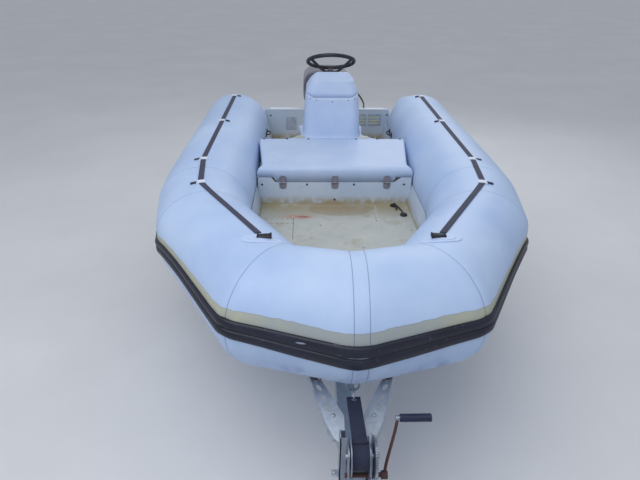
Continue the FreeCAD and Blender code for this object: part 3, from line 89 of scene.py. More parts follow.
def sweep(path, radius, count=16, caps=True):
    """A round bar along a line of points. The radius is one number, or one for each point."""
    path = [Vector(p) for p in path]
    radii = radius if isinstance(radius, (list, tuple)) else [radius] * len(path)
    way = (path[1] - path[0]).normalized()
    side = way.orthogonal().normalized()
    rings = []
    for k, point in enumerate(path):
        ahead = path[min(k + 1, len(path) - 1)] - path[max(k - 1, 0)]
        way = ahead.normalized()
        side = (side - way * side.dot(way)).normalized()
        rings.append(circle(point, side, way.cross(side), radii[k], count))
    return loft(rings, caps=caps)


def lathe(outline, centre, axis, count=48, caps=True):
    """An outline of (distance along the axis, radius) in mm, turned about the axis."""
    axis = Vector(axis).normalized()
    side = axis.orthogonal().normalized()
    up = axis.cross(side)
    rings = [circle(Vector(centre) + axis * (a * MM), side, up, max(r, 0.02) * MM, count)
             for a, r in outline]
    return loft(rings, caps=caps)


def prism(outline, start, run):
    """A flat outline of points, moved to start and given the thickness run."""
    ring = [Vector(p) + start for p in outline]
    return loft([ring, [p + run for p in ring]])


def block(centre, size, ease=0.0, turn=None):
    """A box with its long edges eased, given its centre and size in metres."""
    half = [s / 2 for s in size]
    rows = []
    for z, inset in ((-half[2], ease), (-half[2] + ease, 0), (half[2] - ease, 0), (half[2], ease)):
        ring = rounded(inset - half[0], half[0] - inset, half[1] - inset, ease + 1e-5, ease + 1e-5, 3)
        rows.append([Vector((x, y, z)) for x, y in ring])
    points, faces = loft(rows)
    turn = turn or Matrix.Identity(3)
    return [turn @ p + Vector(centre) for p in points], faces


def rounded(x0, x1, half, nose, tail, steps=6):
    """A plan outline with rounded corners: nose is the radius at x1, tail at x0."""
    # middle of each corner, its radius, and the angle at which it starts
    corners = ((x1 - nose, half - nose, nose, 0), (x0 + tail, half - tail, tail, 90),
               (x0 + tail, tail - half, tail, 180), (x1 - nose, nose - half, nose, 270))
    ring = []
    for cx, cy, radius, first in corners:
        for k in range(steps + 1):
            a = math.radians(first + 90 * k / steps)
            ring.append((cx + radius * math.cos(a), cy + radius * math.sin(a)))
    return ring


def ribbon(path, across, width, thick):
    """A flat bar along a line of points. Across is the direction of its width; sizes in metres."""
    path = [Vector(p) for p in path]
    rings = []
    for k, point in enumerate(path):
        way = (path[min(k + 1, len(path) - 1)] - path[max(k - 1, 0)]).normalized()
        side = (Vector(across) - way * way.dot(Vector(across))).normalized() * (width / 2)
        up = way.cross(side).normalized() * (thick / 2)
        rings.append([point + side + up, point - side + up, point - side - up, point + side - up])
    return loft(rings)


def hoop(centre, axis, big, small, turns=64, count=16):
    """A ring of round bar, given the radii of the ring and of the bar in metres."""
    axis = Vector(axis).normalized()
    side = axis.orthogonal().normalized()
    rings = []
    for k in range(turns + 1):
        out = Matrix.Rotation(math.tau * k / turns, 3, axis) @ side
        rings.append(circle(centre + out * big, out, axis, small, count))
    return loft(rings, caps=False)


def plate(corners, run):
    """A flat plate with the given corners and thickness."""
    return prism([Vector(c) for c in corners], Vector((0, 0, 0)), Vector(run))


def holed_plate(corners, run, half_long, half_wide, aside=0.5):
    """A four-cornered plate with an oval hole. Corners go round, the first side being an end."""
    a, b, c, d = [Vector(p) for p in corners]
    middle = a.lerp(b, aside).lerp(d.lerp(c, aside), 0.5)
    way, side = ((d + c) - (a + b)).normalized(), ((b + c) - (a + d)).normalized()
    edges = [p.lerp(q, k / 8) for p, q in ((a, b), (b, c), (c, d), (d, a)) for k in range(8)]
    hole = []
    for p in edges:
        turn = math.atan2((p - middle).dot(side), (p - middle).dot(way))
        oval = way * (half_long * math.cos(turn)) + side * (half_wide * math.sin(turn))
        hole.append(middle + oval)
    run = Vector(run)
    rings = [edges, hole, [p + run for p in hole], [p + run for p in edges], edges]
    return loft(rings, caps=False)


def merged(*solids):
    """Several lots of points and faces as one."""
    points, faces = [], []
    for more, rows in solids:
        start = len(points)
        points.extend(more)
        faces.extend(tuple(i + start for i in row) for row in rows)
    return points, faces


def mirrored(solid):
    """The same shape on the starboard side."""
    points, faces = solid
    return [Vector((p.x, -p.y, p.z)) for p in points], [tuple(reversed(f)) for f in faces]


def both_sides(solid):
    return merged(solid, mirrored(solid))


print("a plain block has", len(block((0, 0, 0), (1, 1, 1))[0]), "points")

# %% [markdown]
# A piece is a mesh object that rides on one of the frame's bodies, wears one material and,
# where it stands for plain solids of the frame, hides them. Edges sharper than an angle stay
# crisp. A solid of the frame whose shape is right is kept: it gets a small bevel, because a
# real edge is never sharp and a narrow round one catches the light.

# %% Make a piece
made_pieces = []


def piece(name, solid, material, body="root", stands_for=(), crisp=35.0):
    """Build one mesh, dress it and let it ride on its body."""
    mesh = bpy.data.meshes.new(name)
    mesh.from_pydata([tuple(p) for p in solid[0]], [], solid[1])
    mesh.validate()
    mesh.polygons.foreach_set("use_smooth", [True] * len(mesh.polygons))
    mesh.materials.append(material)
    made = bpy.data.objects.new(name, mesh)
    bpy.context.scene.collection.objects.link(made)
    mesh.set_sharp_from_angle(angle=math.radians(crisp))
    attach(made, body)
    if stands_for:
        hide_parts(*stands_for)
    made_pieces.append(name)
    return made


def dress(node, material, bevel, crisp=30.0):
    """Give a solid of the frame its finish, with its flat faces merged and its edges eased."""
    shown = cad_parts[node]
    shown.data.materials.clear()
    shown.data.materials.append(material)
    weld = shown.modifiers.new("weld", "WELD")
    weld.merge_threshold = 0.01 * MM
    flat = shown.modifiers.new("flat faces", "DECIMATE")
    flat.decimate_type, flat.angle_limit = "DISSOLVE", math.radians(1.0)
    if bevel:
        edge = shown.modifiers.new("eased edges", "BEVEL")
        edge.width, edge.segments = bevel * MM, 2
        edge.limit_method, edge.angle_limit = "ANGLE", math.radians(crisp)
    shown.modifiers.new("even shading", "WEIGHTED_NORMAL")


print("solids in the frame", len(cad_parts))

# %% [markdown]
# Materials start from what the real thing is made of. They could be painted on image textures,
# but nodes need no picture and no unwrapping, and stay sharp at any distance. Colours are
# written as the eye reads them, in hex, and one function turns them to linear light. One more
# adds a node with its settings and links, and hands back one of its outputs, so that a
# material reads as a chain of steps. Pattern sizes are real millimetres: per(12) is the scale
# at which a noise cell is 12 mm wide.

# %% Colour and node helpers
# settings that recur: a fade with soft ends, one colour over another, and a product
SOFT = {"interpolation_type": "SMOOTHSTEP"}
OVER = {"data_type": "RGBA", "out": 2}
TIMES = {"operation": "MULTIPLY"}


def linear(code):
    """An sRGB hex colour as linear light."""
    levels = [int(code[k:k + 2], 16) / 255 for k in (1, 3, 5)]
    light = [v / 12.92 if v <= 0.04045 else ((v + 0.055) / 1.055) ** 2.4 for v in levels]
    return (*light, 1.0)


def per(size):
    """The scale of a texture whose pattern repeats about every size millimetres."""
    return 1000.0 / size


def add(tree, kind, inputs=None, out=0, **settings):
    """Add one node and return one of its outputs.

    Inputs are numbers, hex colours or other nodes' outputs, by socket name or number. In a
    Mix node 0 is the share and 6 and 7 the colours; in a Map Range node 0 is the value, and
    1 and 2 are where it starts and where it is full.
    """
    made = tree.nodes.new("ShaderNode" + kind)
    for name, value in settings.items():
        setattr(made, name, value)
    for name, value in (inputs or {}).items():
        if isinstance(value, bpy.types.NodeSocket):
            tree.links.new(value, made.inputs[name])
        else:
            made.inputs[name].default_value = linear(value) if isinstance(value, str) else value
    return made.outputs[out]


def spot(tree, place, centre, size, soft):
    """1 inside an oval patch at a place of the drawing, fading to 0 at its rim."""
    moved = add(tree, "VectorMath", {0: place, 1: at(*centre)}, operation="SUBTRACT")
    scaled = add(tree, "VectorMath", {0: moved, 1: [1 / s for s in size]}, **TIMES)
    far = add(tree, "VectorMath", {0: scaled}, out="Value", operation="LENGTH")
    return add(tree, "MapRange", {0: far, 1: 1.0, 2: 1.0 - soft}, **SOFT)


# %% [markdown]
# Every finish here has the same base: no real surface is one flat colour, so the colour and
# the roughness wander together over broad patches, and an even fine grain roughens the light.
# One function makes that base from five facts, and the finishes that need more build on it.
# The grain of most of them is finer than a pixel and is drawn 1 to 3 mm wide so that it shows.

# %% The base of every finish
def surface(name, colours, patch, gloss, grain, depth, metallic=0.0, ior=1.5, coat=0.0, sheen=0.0):
    """A material whose colour wanders between two over patches, with an even fine grain.

    patch and grain are sizes in mm, gloss is the span of roughness, depth the grain's height
    in mm. Returns the material and the parts that a richer finish builds on.
    """
    made = bpy.data.materials.new(name)
    made.use_nodes = True
    tree = made.node_tree
    shader = tree.nodes["Principled BSDF"]
    for socket, value in (("Metallic", metallic), ("IOR", ior), ("Coat Weight", coat),
                          ("Sheen Weight", sheen)):
        shader.inputs[socket].default_value = value
    place = add(tree, "TexCoord", out="Object")
    cloud = add(tree, "TexNoise", {"Vector": place, "Scale": per(patch), "Detail": 5.0, "Roughness": 0.6})
    share = add(tree, "MapRange", {0: cloud, 1: 0.32, 2: 0.68})
    colour = add(tree, "Mix", {0: share, 6: colours[0], 7: colours[1]}, **OVER)
    rough = add(tree, "MapRange", {0: cloud, 1: 0.3, 2: 0.7, "To Min": gloss[0], "To Max": gloss[1]})
    fine = add(tree, "TexNoise", {"Vector": place, "Scale": per(grain), "Detail": 3.0})
    bump = add(tree, "Bump", {"Strength": 1.0, "Distance": depth * MM, "Height": fine})
    for socket, source in (("Base Color", colour), ("Roughness", rough), ("Normal", bump)):
        tree.links.new(source, shader.inputs[socket])
    return made, {"tree": tree, "shader": shader, "place": place, "colour": colour, "bump": bump}


def finish(*facts, **more):
    """A material that needs no more than the base."""
    return surface(*facts, **more)[0]


def recolour(parts, colour):
    """Send a new colour to the shader."""
    parts["tree"].links.new(colour, parts["shader"].inputs["Base Color"])


def emboss(parts, pattern, depth, strength=1.0):
    """Raise the surface by a pattern, by some mm, on top of its fine grain."""
    tree = parts["tree"]
    raised = add(tree, "Bump", {"Strength": strength, "Distance": depth * MM, "Height": pattern,
                                "Normal": parts["bump"]})
    tree.links.new(raised, parts["shader"].inputs["Normal"])


# %% [markdown]
# The tube is polyester cloth coated on both sides with a rubbery film, and glued. The film
# gives a soft sheen and hides the weave almost wholly, so the eye meets a cloudy pale colour,
# light grey cloth painted with the blue cast of skylight, thin dark seam edges, darker streaks
# towards the underside, and a stained band where old glue shows above the rubbing strake. Flat
# noise alone can't know where a seam runs, so the mesh carries four numbers for this: the angle
# round the tube, the distance from the nearest seam, the distance from the bow tape's edge, and
# the height in the glue band.

# %% Coated fabric
# the cloth is light grey: the blue in these colours is a painted cast of skylight
FABRIC = ("#A8C0E7", "#BBD0EF")
GLUE_STAIN = ("#999F99", "#B5B391")
GLUE_RIM, SEAM_DARK, STREAK, SPECK = "#74828C", "#465A90", "#8FA4CF", "#5A6B94"
# roughness of a film that is neither wet nor chalky, its grain in mm, and its index
FILM_GLOSS, FILM_GRAIN, FILM_INDEX = (0.42, 0.56), (5.0, 0.05), 1.48


def glue_band(tree, place, share, wander):
    """How strongly the old glue shows, and its colour. The share is 0 at the strake, 1 on top."""
    ragged = add(tree, "MapRange", {0: wander, 1: 0.35, 2: 0.65, "To Min": 0.93, "To Max": 1.05})
    over = add(tree, "Math", {0: ragged, 1: share}, operation="SUBTRACT")
    upper = add(tree, "MapRange", {0: over, 1: 0.0, 2: 0.06}, **SOFT)
    lower = add(tree, "MapRange", {0: share, 1: -0.3, 2: -0.2}, **SOFT)
    band = add(tree, "Math", {0: upper, 1: lower}, **TIMES)
    # the old glue is grey at the bow and greener along the sides
    athwart = add(tree, "SeparateXYZ", {0: place}, out="Y")
    aside = add(tree, "Math", {0: athwart}, operation="ABSOLUTE")
    aside = add(tree, "MapRange", {0: aside, 1: 0.1, 2: 0.5}, **SOFT)
    green = add(tree, "Math", {0: aside, 1: wander}, **TIMES)
    green = add(tree, "MapRange", {0: green, 1: 0.1, 2: 0.62})
    stain = add(tree, "Mix", {0: green, 6: GLUE_STAIN[0], 7: GLUE_STAIN[1]}, **OVER)
    # dirt has gathered along the band's upper edge
    inside = add(tree, "Math", {0: over, 1: -0.05}, operation="ADD")
    rim = add(tree, "MapRange", {0: inside, 1: 0.1, 2: 0.0}, **SOFT)
    rim = add(tree, "Math", {0: rim, 1: 0.4}, **TIMES)
    stain = add(tree, "Mix", {0: rim, 6: stain, 7: GLUE_RIM}, **OVER)
    return add(tree, "Math", {0: band, 1: 0.86}, **TIMES), stain


def coated_fabric():
    made, parts = surface("coated_fabric", FABRIC, 420, FILM_GLOSS, *FILM_GRAIN, ior=FILM_INDEX)
    tree, place = parts["tree"], parts["place"]
    angle, seam, tape, share = [add(tree, "Attribute", out="Fac", attribute_name=name)
                                for name in ("round_angle", "seam_mm", "tape_mm", "glue_share")]
    tape = add(tree, "Math", {0: tape}, operation="ABSOLUTE")
    seam = add(tree, "Math", {0: seam, 1: tape}, operation="MINIMUM")
    wander = add(tree, "TexNoise", {"Vector": place, "Scale": per(60), "Detail": 4.0})
    # darker streaks run down the sides: stretched noise, strongest below the strake
    squeezed = add(tree, "Mapping", {"Vector": place, "Scale": (1.0, 1.0, 0.12)})
    streak = add(tree, "TexNoise", {"Vector": squeezed, "Scale": per(70), "Detail": 6.0})
    streak = add(tree, "MapRange", {0: streak, 1: 0.48, 2: 0.75}, **SOFT)
    below = add(tree, "MapRange", {0: angle, 1: 0.0, 2: -40.0}, **SOFT)
    low_streaks = add(tree, "Math", {0: streak, 1: below}, **TIMES)
    colour = add(tree, "Mix", {0: low_streaks, 6: parts["colour"], 7: STREAK}, **OVER)
    strength, stain = glue_band(tree, place, share, wander)
    colour = add(tree, "Mix", {0: strength, 6: colour, 7: stain}, **OVER)
    # a thin dark edge where one panel laps over the next, full at 0.7 mm and gone at 1.9 mm
    line = add(tree, "MapRange", {0: seam, 1: 1.9, 2: 0.7}, **SOFT)
    line = add(tree, "Math", {0: line, 1: 0.6}, **TIMES)
    colour = add(tree, "Mix", {0: line, 6: colour, 7: SEAM_DARK}, **OVER)
    # small dark specks and scuffs, about one in each 95 mm
    speck = add(tree, "TexVoronoi", {"Vector": place, "Scale": per(95), "Randomness": 1.0}, out="Distance")
    speck = add(tree, "MapRange", {0: speck, 1: 0.035, 2: 0.015}, **SOFT)
    speck = add(tree, "Math", {0: speck, 1: 0.6}, **TIMES)
    recolour(parts, add(tree, "Mix", {0: speck, 6: colour, 7: SPECK}, **OVER))
    # the lap is a step of the cloth's own thickness
    lap = add(tree, "MapRange", {0: seam, 1: 0.0, 2: 3.0}, **SOFT)
    emboss(parts, lap, 0.8)
    return made


fabric = coated_fabric()
# light grey cloth too, with the same painted blue cast of skylight
pad_fabric = finish("coated_fabric_pad", ("#AFC5EA", "#C0D2F1"), 160, FILM_GLOSS, *FILM_GRAIN,
                    ior=FILM_INDEX)
# the lifeline's patches are newer cloth, bleached by the sun to a chalkier white, and carry the same
# painted blue cast of skylight
pale_fabric = finish("bleached_fabric", ("#CCD7EC", "#DBE3F3"), 60, (0.5, 0.65), 3.0, 0.08, ior=FILM_INDEX)
print("cloth finishes", fabric.name, pad_fabric.name, pale_fabric.name)

# %% [markdown]
# The strake is extruded rubber, nearly black with a blue cast, dull with age but still glossy
# along the tops of its two ribs. The lifeline is polyester webbing: a close weave. Its threads
# could be modelled one by one, but at this distance a fine bump does, drawn here 2.5 mm wide
# where the real threads are 1.5 mm, so that it shows. Webbing that has been wet and dry for
# years also cockles a little, in slanting waves.

# %% Rubber and webbing
SCRAPE_AND_HIGHLIGHT, RUBBER_DUST = "#8C96AB", "#3A4152"
# pale marks on the strake: a scrape where the rubber has met a quay, then painted highlights along its
# upper edge and along its groove at the bow; place in the drawing, and half sizes in metres
SCRAPES_AND_HIGHLIGHTS = (((2897, -189, 882), (0.010, 0.026, 0.004)), ((2923, -62, 893), (0.012, 0.036, 0.003)),
           ((2940, 0, 849), (0.012, 0.060, 0.0025)))


def extruded_rubber():
    made, parts = surface("extruded_rubber", ("#0A0F22", "#171D33"), 160, (0.4, 0.55), 3.0, 0.04, ior=1.52)
    tree = parts["tree"]
    dust = add(tree, "TexNoise", {"Vector": parts["place"], "Scale": per(25), "Detail": 6.0})
    settled = add(tree, "MapRange", {0: dust, 1: 0.6, 2: 0.8}, **SOFT)
    colour = add(tree, "Mix", {0: settled, 6: parts["colour"], 7: RUBBER_DUST}, **OVER)
    # the first mark is a scrape, the other two are painted highlights
    for place, size in SCRAPES_AND_HIGHLIGHTS:
        pale_mark = spot(tree, parts["place"], place, size, 0.5)
        broken = add(tree, "MapRange", {0: dust, 1: 0.3, 2: 0.5}, **SOFT)
        pale_mark_share = add(tree, "Math", {0: pale_mark, 1: broken}, **TIMES)
        colour = add(tree, "Mix", {0: pale_mark_share, 6: colour, 7: SCRAPE_AND_HIGHLIGHT}, **OVER)
    recolour(parts, colour)
    return made


def polyester_webbing(name, colours, cockle=50.3):
    """Woven tape: matt, with a slight sheen from its fibres, in waves that are a cockle apart."""
    made, parts = surface(name, colours, 90, (0.7, 0.85), 2.5, 0.1, sheen=0.06)
    tree = parts["tree"]
    # slanting bands of a wave texture lie 0.2 pi / scale metres apart along each axis
    bands = {"Vector": parts["place"], "Scale": 0.2 * math.pi * per(cockle), "Distortion": 0.4}
    waves = add(tree, "TexWave", bands, out="Fac", wave_type="BANDS", bands_direction="DIAGONAL")
    emboss(parts, waves, 0.5, 0.8)
    return made


rubber = extruded_rubber()
webbing = polyester_webbing("polyester_webbing", ("#282C42", "#383C54"))
strap_cloth = polyester_webbing("winch_strap_webbing", ("#1C2138", "#2A3049"), 37.7)
# moulded handles: the mould left them smoother than the strake, so they catch more light
black_moulding = finish("moulded_black_rubber", ("#0D101D", "#1A1E2C"), 40, (0.38, 0.5), 1.5, 0.05)
print("rubber and webbing", rubber.name, webbing.name, strap_cloth.name, black_moulding.name)

# %% [markdown]
# The locker, seat, console and hood are laminated glass fibre with a gelcoat face: a hard
# resin skin, smooth and glossy when new, chalky after years outside. One flat colour with a
# gloss would look like new plastic, so dirt is mixed in where a noise is high, and the sides
# of the locker get the tan line that standing water leaves, faded by their height.

# %% Gelcoat
DIRT, TIDE_TAN = "#9EABBA", "#A59C80"
# heights in metres at which the tide line starts and is full, going down to the floor
TIDE_TOP, TIDE_FULL = 0.762, 0.708


def aged_gelcoat(name, colours, gloss=(0.46, 0.58), stained=False):
    """Resin skin that has lost its shine. Stained adds the line left by standing water."""
    made, parts = surface(name, colours, 300, gloss, 18.0, 0.03, ior=1.5, coat=0.05)
    tree = parts["tree"]
    dirt = add(tree, "TexNoise", {"Vector": parts["place"], "Scale": per(35), "Detail": 7.0})
    cover = add(tree, "MapRange", {0: dirt, 1: 0.64, 2: 0.85}, **SOFT)
    colour = add(tree, "Mix", {0: cover, 6: parts["colour"], 7: DIRT}, **OVER)
    if stained:
        height = add(tree, "SeparateXYZ", {0: parts["place"]}, out="Z")
        low = add(tree, "MapRange", {0: height, 1: TIDE_TOP, 2: TIDE_FULL}, **SOFT)
        broken = add(tree, "MapRange", {0: dirt, 1: 0.25, 2: 0.6}, **SOFT)
        tide = add(tree, "Math", {0: low, 1: broken}, **TIMES)
        colour = add(tree, "Mix", {0: tide, 6: colour, 7: TIDE_TAN}, **OVER)
    recolour(parts, colour)
    return made


# the seat and console gelcoat is white: the blue in its two colours is a painted cast of skylight
gelcoat = aged_gelcoat("aged_gelcoat", ("#AFC4E6", "#BFD0EC"))
side_gelcoat = aged_gelcoat("chalky_gelcoat", ("#B4C4D9", "#C3CFDD"), (0.5, 0.64), True)
hull_gelcoat = aged_gelcoat("hull_gelcoat", ("#B5C4DA", "#C4D0E0"))
# the shelf's hollows keep their water and their dust
recess_gelcoat = finish("unwashed_gelcoat", ("#A9B1B4", "#B9BDB6"), 30, (0.5, 0.65), 3.0, 0.1)
# painted highlight: a paler gelcoat for the transom's top edge, where light falls on its top face
painted_highlight_edge = finish("new_gelcoat_edge", ("#D3DDEC", "#E2E9F3"), 120, (0.4, 0.5), 4.0, 0.02)
print("gelcoat", gelcoat.name, side_gelcoat.name, hull_gelcoat.name, recess_gelcoat.name, painted_highlight_edge.name)

# %% [markdown]
# The floor wears the same skin, but walked on, so it is blotched all over, brown along the
# locker and rusty where iron stood. Stains could be painted by hand on a picture; here each is
# an oval patch, broken up by noise, because a patch can be moved by changing one number.

# %% The walked floor
BLOTCH, FLECK, TAN, BROWN = "#9F9A86", "#8E8A78", "#A0967A", "#927C5E"
RUST_HALO, RUST_CORE = "#B5806A", "#964B36"
# stations where the tan starts to show and where it is full, going aft to the locker
TAN_FROM, TAN_FULL = 1580, 1380
# stains: place in the drawing, half sizes in metres, and the share of it that fades out
BROWN_PATCH = ((1420, 33, 705), (0.105, 0.2, 0.05), 0.12)
RUST_FLECKS = ((1530, -215, 705), (0.05, 0.15, 0.05), 0.95)
RUST_MARK = ((1533, -180, 705), (0.013, 0.055, 0.05), 0.9)


def deck_gelcoat():
    made, parts = surface("walked_gelcoat", ("#A9AEAC", "#BCBFBA"), 200, (0.5, 0.66), 2.0, 0.12)
    tree, place = parts["tree"], parts["place"]
    blotch, fleck = [add(tree, "TexNoise", {"Vector": place, "Scale": per(size), "Detail": 8.0,
                                            "Roughness": 0.7}) for size in (85, 14)]
    wide = add(tree, "MapRange", {0: blotch, 1: 0.5, 2: 0.8}, **SOFT)
    colour = add(tree, "Mix", {0: wide, 6: parts["colour"], 7: BLOTCH}, **OVER)
    small = add(tree, "MapRange", {0: fleck, 1: 0.6, 2: 0.78}, **SOFT)
    colour = add(tree, "Mix", {0: small, 6: colour, 7: FLECK}, **OVER)
    # a tan stain grows towards the locker, with a browner patch right in front of it
    along = add(tree, "SeparateXYZ", {0: place}, out="X")
    near = add(tree, "MapRange", {0: along, 1: at(TAN_FROM, 0, 0).x, 2: at(TAN_FULL, 0, 0).x}, **SOFT)
    broken = add(tree, "MapRange", {0: blotch, 1: 0.25, 2: 0.5}, **SOFT)
    faint = add(tree, "Math", {0: near, 1: broken}, **TIMES)
    colour = add(tree, "Mix", {0: faint, 6: colour, 7: TAN}, **OVER)
    patch = spot(tree, place, *BROWN_PATCH)
    strong = add(tree, "Math", {0: patch, 1: 0.4}, **TIMES)
    colour = add(tree, "Mix", {0: strong, 6: colour, 7: BROWN}, **OVER)
    # iron rust where something stood: a flecked halo round a narrow core
    halo = spot(tree, place, *RUST_FLECKS)
    flecked = add(tree, "MapRange", {0: fleck, 1: 0.3, 2: 0.6}, **SOFT)
    halo = add(tree, "Math", {0: halo, 1: flecked}, **TIMES)
    colour = add(tree, "Mix", {0: halo, 6: colour, 7: RUST_HALO}, **OVER)
    core = spot(tree, place, *RUST_MARK)
    recolour(parts, add(tree, "Mix", {0: core, 6: colour, 7: RUST_CORE}, **OVER))
    return made


deck = deck_gelcoat()
print("floor finish", deck.name)

# %% [markdown]
# Metals keep the default index and differ by how their surface was made. Hot-dip galvanising
# leaves dull grey zinc with crystals a few millimetres to a few centimetres wide, so its shade
# comes from a cell texture; a noise would give clouds, where the real one has flat facets with
# straight edges. Zinc plate is thin and brighter, and the outboard is painted aluminium.

# %% Metals
CRYSTAL_LIGHT, FRAME_RUST = "#C6CED8", "#7A5A48"


def galvanised_steel():
    made, parts = surface("hot_dip_galvanised_steel", ("#95A0AF", "#AEB8C4"), 120, (0.45, 0.62), 2.0, 0.06,
                          metallic=0.75)
    tree = parts["tree"]
    crystal = add(tree, "TexVoronoi", {"Vector": parts["place"], "Scale": per(14)}, out="Color")
    shade = add(tree, "SeparateColor", {0: crystal})
    shade = add(tree, "Math", {0: shade, 1: 0.35}, **TIMES)
    colour = add(tree, "Mix", {0: shade, 6: parts["colour"], 7: CRYSTAL_LIGHT}, **OVER)
    rust = add(tree, "TexNoise", {"Vector": parts["place"], "Scale": per(45), "Detail": 8.0})
    rust = add(tree, "MapRange", {0: rust, 1: 0.66, 2: 0.82}, **SOFT)
    recolour(parts, add(tree, "Mix", {0: rust, 6: colour, 7: FRAME_RUST}, **OVER))
    return made


galvanised = galvanised_steel()
# electroplated zinc: even, thin, and brighter than the dipped frame
zinc = finish("winch_zinc", ("#8D97A8", "#A4ADBC"), 60, (0.3, 0.45), 3.0, 0.03, metallic=0.85)
# stainless hinges and screws whose polish has gone under a film of salt
worn_steel = finish("weathered_steel", ("#7C7A86", "#94929C"), 20, (0.45, 0.6), 3.0, 0.06, metallic=0.4)
# bare steel rod, brown all over: rough, and hardly metallic any more
rusty_steel = finish("rusty_steel", ("#4E3434", "#63443E"), 18, (0.6, 0.8), 2.0, 0.15, metallic=0.2)
# bolt heads gone nearly black
dark_bolt = finish("tarnished_bolt", ("#2C2F3C", "#454857"), 10, (0.4, 0.55), 1.5, 0.03, metallic=0.4)
print("metals", galvanised.name, zinc.name, worn_steel.name, rusty_steel.name, dark_bolt.name)

# %% [markdown]
# Paints, plastics and rubbers need no pattern of their own at this distance. They could share
# one dark grey, but the eye tells them apart by gloss: paint under a clear film is brightest,
# moulded plastic is satin, and rubber and felt are matt. Each starts from the base with its
# own roughness, and a grain as coarse as its making left it.

# %% Paint, plastic and rubber
# stoved enamel on cast aluminium, under a thin clear film
motor_paint = finish("enamelled_aluminium", ("#4A4B5C", "#585A6B"), 200, (0.28, 0.38), 4.0, 0.02, coat=0.3)
# sprayed moulding: the glossiest thing on the boat
cowl_plastic = finish("painted_cowl", ("#3E3C54", "#4C4A64"), 260, (0.22, 0.34), 6.0, 0.02, coat=0.4)
# paint that the water has rubbed matt
prop_paint = finish("cast_aluminium_paint", ("#2A2C33", "#3A3D45"), 60, (0.35, 0.5), 3.0, 0.05)
# wheel rims: metal flake in the paint gives a soft shine without crystals
rim_paint = finish("silver_rim_paint", ("#9AA2AD", "#ADB5BF"), 80, (0.3, 0.42), 2.0, 0.02, metallic=0.4)
# injection moulded nylon with a fine spark-eroded texture
hard_plastic = finish("moulded_nylon", ("#1D1F26", "#2C2F38"), 60, (0.4, 0.5), 1.2, 0.06)
# blown polyethylene, waxy and even
guard_plastic = finish("moulded_guard_plastic", ("#1F2126", "#2F3238"), 180, (0.45, 0.6), 2.5, 0.1)
# extruded PVC, smooth from the die
cable_jacket = finish("cable_jacket", ("#15161A", "#22242A"), 80, (0.35, 0.48), 2.0, 0.02)
# vulcanised rubbers, from dusty tread to the soft grip that hands keep clean
tyre_rubber = finish("tyre_rubber", ("#1E1F22", "#34353A"), 120, (0.65, 0.85), 3.0, 0.12)
roller_rubber = finish("roller_rubber", ("#23262C", "#3A3D42"), 60, (0.6, 0.75), 2.0, 0.08)
bung = finish("bung_rubber", ("#1A1A1E", "#2A2A30"), 20, (0.5, 0.6), 1.5, 0.04)
grip_rubber = finish("navy_grip_rubber", ("#141A38", "#232B4E"), 30, (0.45, 0.6), 1.5, 0.06)
# needle felt: no gloss at all, and a sheen from its loose fibres
carpet = finish("bunk_carpet", ("#2F333B", "#444952"), 40, (0.9, 1.0), 3.0, 0.9, sheen=0.4)
# printed plates whose print has gone, and what is left of a yellow one
blank_plate = finish("blank_printed_plate", ("#8494AA", "#B4BFCE"), 14, (0.4, 0.5), 2.0, 0.02)
faded_yellow = finish("faded_yellow_print", ("#C6C998", "#D0D3B0"), 30, (0.5, 0.6), 2.0, 0.02)
# sealant from a gun: clean where it is new, black with trodden dirt where it is old
dull_seam = finish("pale_sealant", ("#B3BAC4", "#C3C9CF"), 40, (0.6, 0.7), 3.0, 0.05)
# the dark sealant also paints the shade in the gaps beside the locker's hinges
dark_sealant_and_gap_shade = finish("floor_sealant", ("#3B3A3C", "#55514C"), 12, (0.6, 0.75), 2.0, 0.05)
print("materials", len(bpy.data.materials))

# %% [markdown]
# The tube is cut from straight panels and joined at mitres, so its centre line is a chain of
# straight runs. A bent curve with a round bevel would be quicker, but it would turn evenly,
# where the real one turns at its seams. So a line at any offset from the centre line has its
# own corner at each mitre, and because inflated cloth can't hold a sharp corner, each line
# turns through a short curve there.

# %% The tube's lines
TUBE_R = 233.0
TUBE_Z = 850.0
STERN_X = 190.0
SEAMS = ((1753.0, 685.0), (2067.0, 631.0), (2620.0, 313.0))
BOW_X = 2692.0
SEAM_EASE = 38.0

port_line = [Vector((STERN_X, SEAMS[0][1]))] + [Vector(s) for s in SEAMS]
chain = port_line + [Vector((BOW_X, 0.0))] + [Vector((p.x, -p.y)) for p in reversed(port_line)]
runs = [(b - a).length for a, b in zip(chain, chain[1:])]
marks = [sum(runs[:k]) for k in range(len(runs) + 1)]
outboards = [Vector((-(b - a).y, (b - a).x)).normalized() for a, b in zip(chain, chain[1:])]


def corner(k, offset):
    """The chain's corner k, moved outboard by an offset."""
    before, after = outboards[max(k - 1, 0)], outboards[min(k, len(outboards) - 1)]
    across = (before + after).normalized()
    return chain[k] + across * (offset / across.dot(before))


def tube_point(along, offset, height):
    """A point of the line at an offset and height, at a distance along the tube's centre."""
    k = next((n for n in range(len(runs)) if along <= marks[n + 1]), len(runs) - 1)
    for turn in (k, k + 1):
        if 0 < turn < len(runs) and abs(along - marks[turn]) < SEAM_EASE:
            here = corner(turn, offset)
            first = here.lerp(corner(turn - 1, offset), SEAM_EASE / runs[turn - 1])
            last = here.lerp(corner(turn + 1, offset), SEAM_EASE / runs[turn])
            u = (along - marks[turn] + SEAM_EASE) / (2 * SEAM_EASE)
            flat = first.lerp(here, u).lerp(here.lerp(last, u), u)
            return at(flat.x, flat.y, TUBE_Z + height)
    flat = corner(k, offset).lerp(corner(k + 1, offset), (along - marks[k]) / runs[k])
    return at(flat.x, flat.y, TUBE_Z + height)


